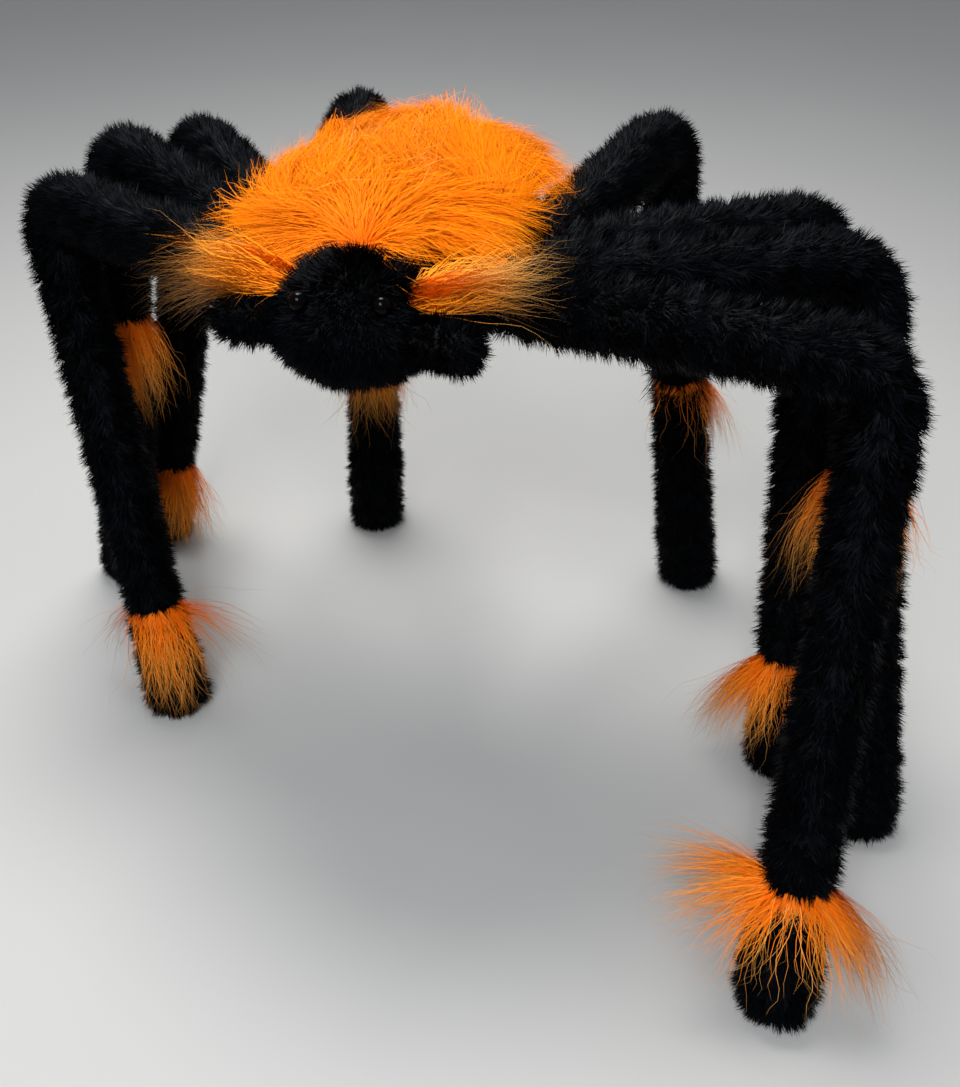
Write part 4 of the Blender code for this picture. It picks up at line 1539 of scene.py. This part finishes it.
@dataclass
class Body:
    """The stuffed body and the orange fur patch on its back.

    Attributes:
        half, centre: the body's half sizes, out to the tips of its pile, and its middle.
        pile_depth: how deep under those tips its skin lies.
        squareness: the power of its unit points that squares it up, 1 for none.
        unevenness: how uneven its stuffing is, as a share of its size.
        patch_half, patch_centre: the patch's half sizes in plan, and its middle.
        patch_crown, patch_fall: how high it rises, and the power of the distance by which it falls.
        patch_squareness: the power of its unit points that squares up its plan.
        patch_rings, tucks, tuck_depth: how many rings it has out to its rim, how wide those are that
            tuck in under it, and how deep they lie.
        rim_centre, rim_half: the oval that the fur fills in plan.
        full_room, least_reach: how far from the oval's edge the fur has its full length, and its
            shortest share of it.
        shoulder, shoulder_width, shoulder_reach: where the fur is longer, how wide and how much.
        parting, parting_half: the line that the fur is brushed away from: its middle and half its
            length.
        brushed_up: how far the roots' normals turn upwards.
        swirl: how far the fur's flow turns to either side, in degrees.
        wisps_from, wisps_fade: how far behind the parting the wisps start, and over what length.
        dome_centre, dome_half: the plan of the dome that the fur settles under.
        dome_crown, dome_rim, dome_fall: the dome's height in its middle and at its rim, and the power
            of the distance by which it falls.
        peak_place, peak_height, peak_width: the one peak on it.
        tuft_height: how high the tufts rise on it.
        flattening: what share of its height over the dome a hair keeps.
        least_depth: how deep the fur is everywhere over the patch.
        seed: where its unevenness starts.
    """

    half: tuple[float, float, float] = (0.090, 0.112, 0.040)
    centre: Array = field(default_factory=lambda: np.array([0.0, 0.010, 0.411]) + STANCE_SHIFT)
    pile_depth: float = 0.006
    squareness: float = 0.86
    unevenness: float = 0.02
    patch_half: tuple[float, float] = (0.075, 0.109)
    patch_centre: Array = field(default_factory=lambda: np.array([-0.015, 0.040, 0.446]) + STANCE_SHIFT)
    patch_crown: float = 0.017
    patch_fall: float = 2.4
    patch_squareness: float = 0.66
    patch_rings: int = 22
    tucks: tuple[float, ...] = (0.96, 0.80, 0.50, 0.10)
    tuck_depth: float = 0.006
    rim_centre: Array = field(default_factory=lambda: np.array([-0.021, 0.046]) + STANCE_SHIFT[:2])
    rim_half: tuple[float, float] = (0.096, 0.132)
    full_room: float = 0.080
    least_reach: float = 0.36
    shoulder: Array = field(default_factory=lambda: np.array([-0.078, -0.042]) + STANCE_SHIFT[:2])
    shoulder_width: float = 0.032
    shoulder_reach: float = 0.42
    parting: Array = field(default_factory=lambda: np.array([-0.006, -0.074]) + STANCE_SHIFT[:2])
    parting_half: float = 0.060
    brushed_up: float = 1.1
    swirl: float = 50.0
    wisps_from: float = 0.02
    wisps_fade: float = 0.03
    dome_centre: Array = field(default_factory=lambda: np.array([-0.030, 0.052]) + STANCE_SHIFT[:2])
    dome_half: tuple[float, float] = (0.104, 0.138)
    dome_crown: float = 0.474
    dome_rim: float = 0.432
    dome_fall: float = 1.8
    peak_place: Array = field(default_factory=lambda: np.array([0.000, 0.078]) + STANCE_SHIFT[:2])
    peak_height: float = 0.048
    peak_width: float = 0.024
    tuft_height: float = 0.009
    flattening: float = 0.36
    least_depth: float = 0.006
    seed: int = 4000

    def skin(self) -> Skin:
        """A ball squared up like a full cushion, by a power of its unit points."""
        units = ball_units(30, 44)
        fuller = np.sign(units) * np.abs(units) ** self.squareness
        turn = np.arctan2(units[..., 1], units[..., 0])
        rng = np.random.default_rng(self.seed)
        uneven = 1 + self.unevenness * ripples(units[..., 2] * 0.05, turn, rng)
        points = self.centre + fuller * (np.array(self.half) - self.pile_depth) * uneven[..., None]
        flow = np.broadcast_to(np.array([0.0, 0.9, -0.4]), points.shape) + units * np.array([0.6, 0, 0])
        cover = ease((0.62 - units[..., 2]) / 0.2)
        return Skin(points, flow, cover)

    def patch(self) -> Skin:
        """The fur patch: a low dome over the back whose rim tucks in under it.

        Its height falls with a power of the distance from its middle. Its plan is an oval squared up by
        a power of its unit points, so that it is wide behind the head. The fur is brushed away from the
        nearest place on the parting, a short line across under the head. It is as long as its way to
        the rim allows, and longer on the right front shoulder.
        """
        out_to_rim = np.linspace(0.03, 1.0, self.patch_rings)
        dome = self.patch_crown * (1 - out_to_rim**self.patch_fall)
        share = np.concatenate([out_to_rim, self.tucks])
        height = np.concatenate([dome, np.full(len(self.tucks), -self.tuck_depth)])
        turn = np.linspace(0, FULL_TURN, 48, endpoint=False)
        circle = np.stack([np.cos(turn), np.sin(turn)], axis=-1)
        squared = np.sign(circle) * np.abs(circle) ** self.patch_squareness
        place = share[:, None, None] * squared[None] * np.array(self.patch_half)
        lift = np.broadcast_to(height[:, None, None], (*place.shape[:2], 1))
        points = self.patch_centre + np.concatenate([place, lift], axis=-1)
        from_parting = points[..., :2] - self.parting
        beside = np.clip(from_parting[..., :1], -self.parting_half, self.parting_half)
        away = unit(from_parting - np.concatenate([beside, np.zeros_like(beside)], axis=-1))
        turn = np.radians(self.swirl * self.swirls(points))[..., None]
        away = away * np.cos(turn) + np.stack([-away[..., 1], away[..., 0]], axis=-1) * np.sin(turn)
        flow = np.concatenate([away, np.zeros((*away.shape[:2], 1))], axis=-1)
        on_top = (np.arange(len(share)) < self.patch_rings)[:, None]
        cover = np.broadcast_to(on_top, points.shape[:2]).astype(float)
        room = self.room_to_rim(points[..., :2], away)
        from_shoulder = np.linalg.norm(points[..., :2] - self.shoulder, axis=-1)
        longer = self.shoulder_reach * bump(from_shoulder, 0.0, self.shoulder_width)
        reach = np.clip((room + 0.004) / self.full_room, self.least_reach, 1.0)
        return Skin(points, flow, cover, reach + longer)

    def room_to_rim(self, place: Array, way: Array) -> Array:
        """How far it is from each place to the fur's oval rim, straight along its way.

        With both scaled so that the rim is a circle of radius 1, that is the positive root of the
        quadratic equation for the line's distance from the middle.
        """
        start = (place - self.rim_centre) / np.array(self.rim_half)
        step = way / np.array(self.rim_half)
        a, b = (step**2).sum(-1), (start * step).sum(-1)
        c = (start**2).sum(-1) - 1.0
        return (-b + np.sqrt(np.maximum(b * b - a * c, 0.0))) / a

    def swirls(
        self, points: Array, lengths: tuple[float, ...] = (0.130, 0.090, 0.062)
    ) -> Array:
        """A smooth unevenness of about -1 to 1: products of a sine across and a sine along.

        Args:
            points: where it is read.
            lengths: how long each product's waves are.

        Returns:
            A value for each point.
        """
        rng = np.random.default_rng(self.seed + 3)
        total = np.zeros(points.shape[:-1])
        for length in lengths:
            across, along = rng.uniform(0, FULL_TURN, 2)
            wide = np.sin(FULL_TURN * points[..., 0] / length + across)
            total = total + wide * np.sin(FULL_TURN * points[..., 1] / (1.2 * length) + along)
        return total / 1.5

    def settled(self, lines: Array) -> Array:
        """The fur's points after it has settled under a low dome with one peak and many tufts.

        The dome's height falls from its crown to its rim with a power of the distance from its middle,
        where the rim is at distance 1. The peak is a bell. The fur is nowhere flatter than its least
        depth over the patch. What stands above all that keeps only a share of its height over it.

        Args:
            lines: the fur's points.

        Returns:
            The same points, lowered.
        """
        distance = (lines[..., :2] - self.dome_centre) / np.array(self.dome_half)
        distance = np.minimum(np.linalg.norm(distance, axis=-1), 1.2)
        ceiling = mix(self.dome_crown, self.dome_rim, distance**self.dome_fall)
        from_peak = np.linalg.norm(lines[..., :2] - self.peak_place, axis=-1)
        ceiling = ceiling + self.peak_height * bump(from_peak, 0.0, self.peak_width)
        ceiling = ceiling + self.tuft_height * self.swirls(lines, (0.058, 0.041, 0.029))
        spread = np.abs((lines[..., :2] - self.patch_centre[:2]) / np.array(self.patch_half))
        power = 2 / self.patch_squareness
        share = (spread**power).sum(-1) ** (1 / power)
        ground = self.patch_centre[2] + self.patch_crown * (1 - share**self.patch_fall)
        ceiling = np.maximum(ceiling, ground + self.least_depth)
        over = np.maximum(0.0, lines[..., 2] - ceiling)
        lowered = lines.copy()
        lowered[..., 2] -= over * (1.0 - self.flattening)
        return lowered

    def dress(self, bench: Workbench) -> None:
        """Builds the stuffed body with its pile, and the patch with its fur and loose wisps."""
        skin, patch = self.skin(), self.patch()
        bench.stuffed("body_stuffed", skin, BLACK_CLOTH, ["body"])
        bench.pelt("body_pile", skin, BODY_PILE, BLACK_PILE, self.seed + 11)
        bench.stuffed("back_patch", patch, ORANGE_CLOTH, ["back_fur"])
        behind = patch.points[..., 1] - self.parting[1] - self.wisps_from
        wispy = replace(patch, cover=patch.cover * ease(behind / self.wisps_fade))
        for name, ground, pile, finish, seed in (
            ("back_long_fur", patch, BACK_FUR, ORANGE_HAIR, self.seed + 13),
            ("back_short_fur", patch, BACK_DOWN, ORANGE_HAIR, self.seed + 15),
            ("back_wisps", wispy, BACK_WISPS, BROWN_WISP, self.seed + 17),
        ):
            roots = scattered(ground, pile, np.random.default_rng(seed))
            roots.normal = unit(roots.normal - self.brushed_up * DOWN)
            roots.flow = flattened(roots.flow, roots.normal)
            bench.hairs(name, roots, pile, finish, seed + 1, self.settled)


@dataclass
class CheekTuft:
    """An orange tuft that grows from one side of the head and streams out from it.

    Attributes:
        word, side: which side, as a word and as 1 on the spider's left or -1 on its right.
        heading, rise: the way that it streams, turned forward and up, in degrees.
        gathered: how far its hairs turn from the head's own normals to that way.
        seat: the way from the head's middle to the tuft's, in half sizes of the head.
        half: how far it reaches along its stream and across it.
        splay: how far its hairs part from the stream, as a share of their recipe's leans.
        thickness: how thick its sewn ground is.
    """

    word: str
    side: int
    heading: float
    rise: float
    seat: tuple[float, float, float]
    half: tuple[float, float] = (0.0105, 0.0140)
    splay: float = 1.0
    thickness: float = 0.0030
    gathered: float = 0.88

    def skin(self) -> Skin:
        """The tuft's ground: a low lens that bends round the head.

        Its plan is a small oval about the seat, and each of its points is put back on the head's ball
        and moved out by the lens's height there.
        """
        head = Head()
        units = ball_units(18, 26)
        seat = unit(np.array(self.seat))
        outward = direction(self.side, self.heading, self.rise)
        along = flattened(outward, seat)
        across = np.cross(seat, along)
        size = np.array(head.half)
        plan = units[..., :1] * along * self.half[0] + units[..., 1:2] * across * self.half[1]
        place = unit(seat + plan / size)
        raised = place * (size - head.pile_depth + 0.5 * self.thickness * units[..., 2:])
        raised[..., 0] *= 1.0 - head.crown_taper * np.maximum(0.0, place[..., 2])
        cover = ease(units[..., 2] / 0.2)
        reach = np.ones(units.shape[:2])
        return Skin(head.centre + raised, np.broadcast_to(DOWN, raised.shape), cover, reach)

    def dress(self, bench: Workbench) -> None:
        """Builds the tuft's ground, its fur and its loose wisps."""
        skin = self.skin()
        pad = bench.piece(skin.mesh(f"{self.word}_cheek_pad"), ORANGE_CLOTH)
        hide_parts(f"{self.word}_cheek_tuft")
        seed = 5000 + 100 * (self.side > 0)
        outward = direction(self.side, self.heading, self.rise)
        for kind, pile, finish, first in (
            ("fur", CHEEK_FUR, GOLDEN_HAIR, seed),
            ("wisps", CHEEK_WISPS, BROWN_WISP, seed + 7),
        ):
            roots = scattered(skin, pile, np.random.default_rng(first))
            lean = (pile.lean[0] * self.splay, pile.lean[1] * self.splay)
            rise, spread = pile.lock_rise * self.splay, pile.lean_spread * self.splay
            pile = replace(pile, lean=lean, lean_spread=spread, lock_rise=rise)
            roots.normal = unit(mix(roots.normal, outward, mix(1.0, self.gathered, self.splay)))
            roots.flow = flattened(roots.flow, roots.normal)
            bench.hairs(f"{self.word}_cheek_{kind}", roots, pile, finish, first + 1)


# Word, side, heading, rise, seat and half sizes.
CHEEK_TUFTS = (
    CheekTuft("left", 1, -8, 24, (0.86, -0.04, 0.49), (0.0105, 0.0120), splay=0.6),
    CheekTuft("right", -1, 6, 15, (-0.80, -0.12, 0.56), (0.0120, 0.0180)),
)


@dataclass(frozen=True)
class Lamp:
    """A round soft light that faces a point.

    Attributes:
        name: the light's name.
        place: where it hangs.
        aim: the point that it faces.
        size: its width.
        power: in watts.
        colour: its tint.
    """

    name: str
    place: tuple[float, float, float]
    aim: tuple[float, float, float]
    size: float
    power: float
    colour: tuple[float, float, float]

    def hang(self) -> None:
        """Adds the light to the scene."""
        lamp = bpy.data.lights.new(self.name, "AREA")
        lamp.shape = "DISK"
        lamp.size = self.size
        lamp.energy = self.power
        lamp.color = self.colour
        holder = bpy.data.objects.new(self.name, lamp)
        holder.location = self.place
        away = Vector(self.place) - Vector(self.aim)
        holder.rotation_euler = away.to_track_quat("Z", "Y").to_euler()
        bpy.context.scene.collection.objects.link(holder)


LAMPS = (
    Lamp("key", (-0.25, 0.45, 1.9), (0, 0, 0.2), 0.8, 35, (1.0, 0.98, 0.95)),
    Lamp("front", (0.12, -1.4, 1.85), (0, 0, 0.25), 0.9, 29, (0.96, 0.98, 1.0)),
    Lamp("spark", (0.30, -1.10, 1.35), (0, 0, 0.4), 0.10, 3.0, (1.0, 1.0, 1.0)),
)


@dataclass
class Studio:
    """The plain pale floor, the soft lights and the camera.

    Attributes:
        camera_place: where the camera stands.
        camera_tilt, camera_turn: how far it is tilted up from straight down, and turned, in degrees.
        lens, sensor_width: its focal length and the width of its sensor, in millimetres.
        floor_half, floor_points: half the floor's width, and how many points it has each way.
        floor_dark, floor_light: the two tones that cloud it.
        floor_roughness, floor_specular: how rough its shine is and how strong.
        cloud_scale: how fine the clouds are.
        sky_colour, sky_strength: the even light from all sides.
    """

    camera_place: tuple[float, float, float] = (0.2474, -0.6558, 0.70)
    camera_tilt: float = 53.04
    camera_turn: float = 17.08
    lens: float = 41.25
    sensor_width: float = 36.0
    floor_half: float = 9.0
    floor_points: int = 13
    floor_dark: tuple[float, float, float] = (0.43, 0.43, 0.425)
    floor_light: tuple[float, float, float] = (0.48, 0.48, 0.472)
    floor_roughness: float = 0.55
    floor_specular: float = 0.3
    cloud_scale: float = 1.5
    sky_colour: tuple[float, float, float] = (0.80, 0.83, 0.88)
    sky_strength: float = 0.38

    def add_floor(self) -> None:
        """A level floor whose far edge is out of the picture, in a pale matt finish."""
        count = self.floor_points
        share = np.linspace(-self.floor_half, self.floor_half, count)
        across, deep = np.meshgrid(share, share, indexing="ij")
        corners = np.stack([across, deep, 0 * across], axis=-1).reshape(-1, 3)
        index = np.arange(count * count).reshape(count, count)
        quads = np.stack([index[:-1, :-1], index[1:, :-1], index[1:, 1:], index[:-1, 1:]], axis=-1)
        mesh = filled_mesh("pale_floor", corners, [quads.reshape(-1, 4)])
        constants = {"Roughness": self.floor_roughness, "Specular IOR Level": self.floor_specular}
        tree, shader = new_material("pale_floor", constants)
        coordinates = tree.nodes.new("ShaderNodeTexCoord")
        cloud = tree.nodes.new("ShaderNodeTexNoise")
        cloud.inputs["Scale"].default_value = self.cloud_scale
        ramp = tree.nodes.new("ShaderNodeValToRGB")
        ramp.color_ramp.elements[0].color = (*self.floor_dark, 1.0)
        ramp.color_ramp.elements[1].color = (*self.floor_light, 1.0)
        tree.links.new(coordinates.outputs["Object"], cloud.inputs["Vector"])
        tree.links.new(cloud.outputs[0], ramp.inputs["Fac"])
        tree.links.new(ramp.outputs["Color"], shader.inputs["Base Color"])
        mesh.materials.append(bpy.data.materials["pale_floor"])
        floor = bpy.data.objects.new("pale_floor", mesh)
        bpy.context.scene.collection.objects.link(floor)

    def add_camera(self) -> None:
        """The camera at the photograph's angle."""
        lens = bpy.data.cameras.new("camera")
        lens.lens = self.lens
        lens.sensor_width = self.sensor_width
        lens.sensor_fit = "HORIZONTAL"
        camera = bpy.data.objects.new("camera", lens)
        camera.location = np.array(self.camera_place) + STANCE_SHIFT
        tilt, turn = math.radians(self.camera_tilt), math.radians(self.camera_turn)
        camera.rotation_euler = (tilt, 0.0, turn)
        bpy.context.scene.collection.objects.link(camera)
        bpy.context.scene.camera = camera

    def set_up(self) -> None:
        """Builds the whole studio."""
        self.add_floor()
        for lamp in LAMPS:
            lamp.hang()
        world = bpy.data.worlds.new("soft_room")
        world.use_nodes = True
        sky = world.node_tree.nodes["Background"]
        sky.inputs["Color"].default_value = (*self.sky_colour, 1.0)
        sky.inputs["Strength"].default_value = self.sky_strength
        bpy.context.scene.world = world
        bpy.context.scene.view_settings.view_transform = "Standard"
        self.add_camera()


def main() -> None:
    """Builds the studio, then the spider from its body outwards."""
    logging.basicConfig(level=logging.INFO, format="%(message)s")
    Studio().set_up()
    bench = Workbench()
    Body().dress(bench)
    Head().dress(bench)
    for word, side in SIDES:
        Palp(word, side).dress(bench)
    for tuft in CHEEK_TUFTS:
        tuft.dress(bench)
    for leg in LEGS:
        leg.dress(bench)
    log.info("hair triangles in all: %d", bench.hair_triangles)


if __name__ == "__main__":
    main()
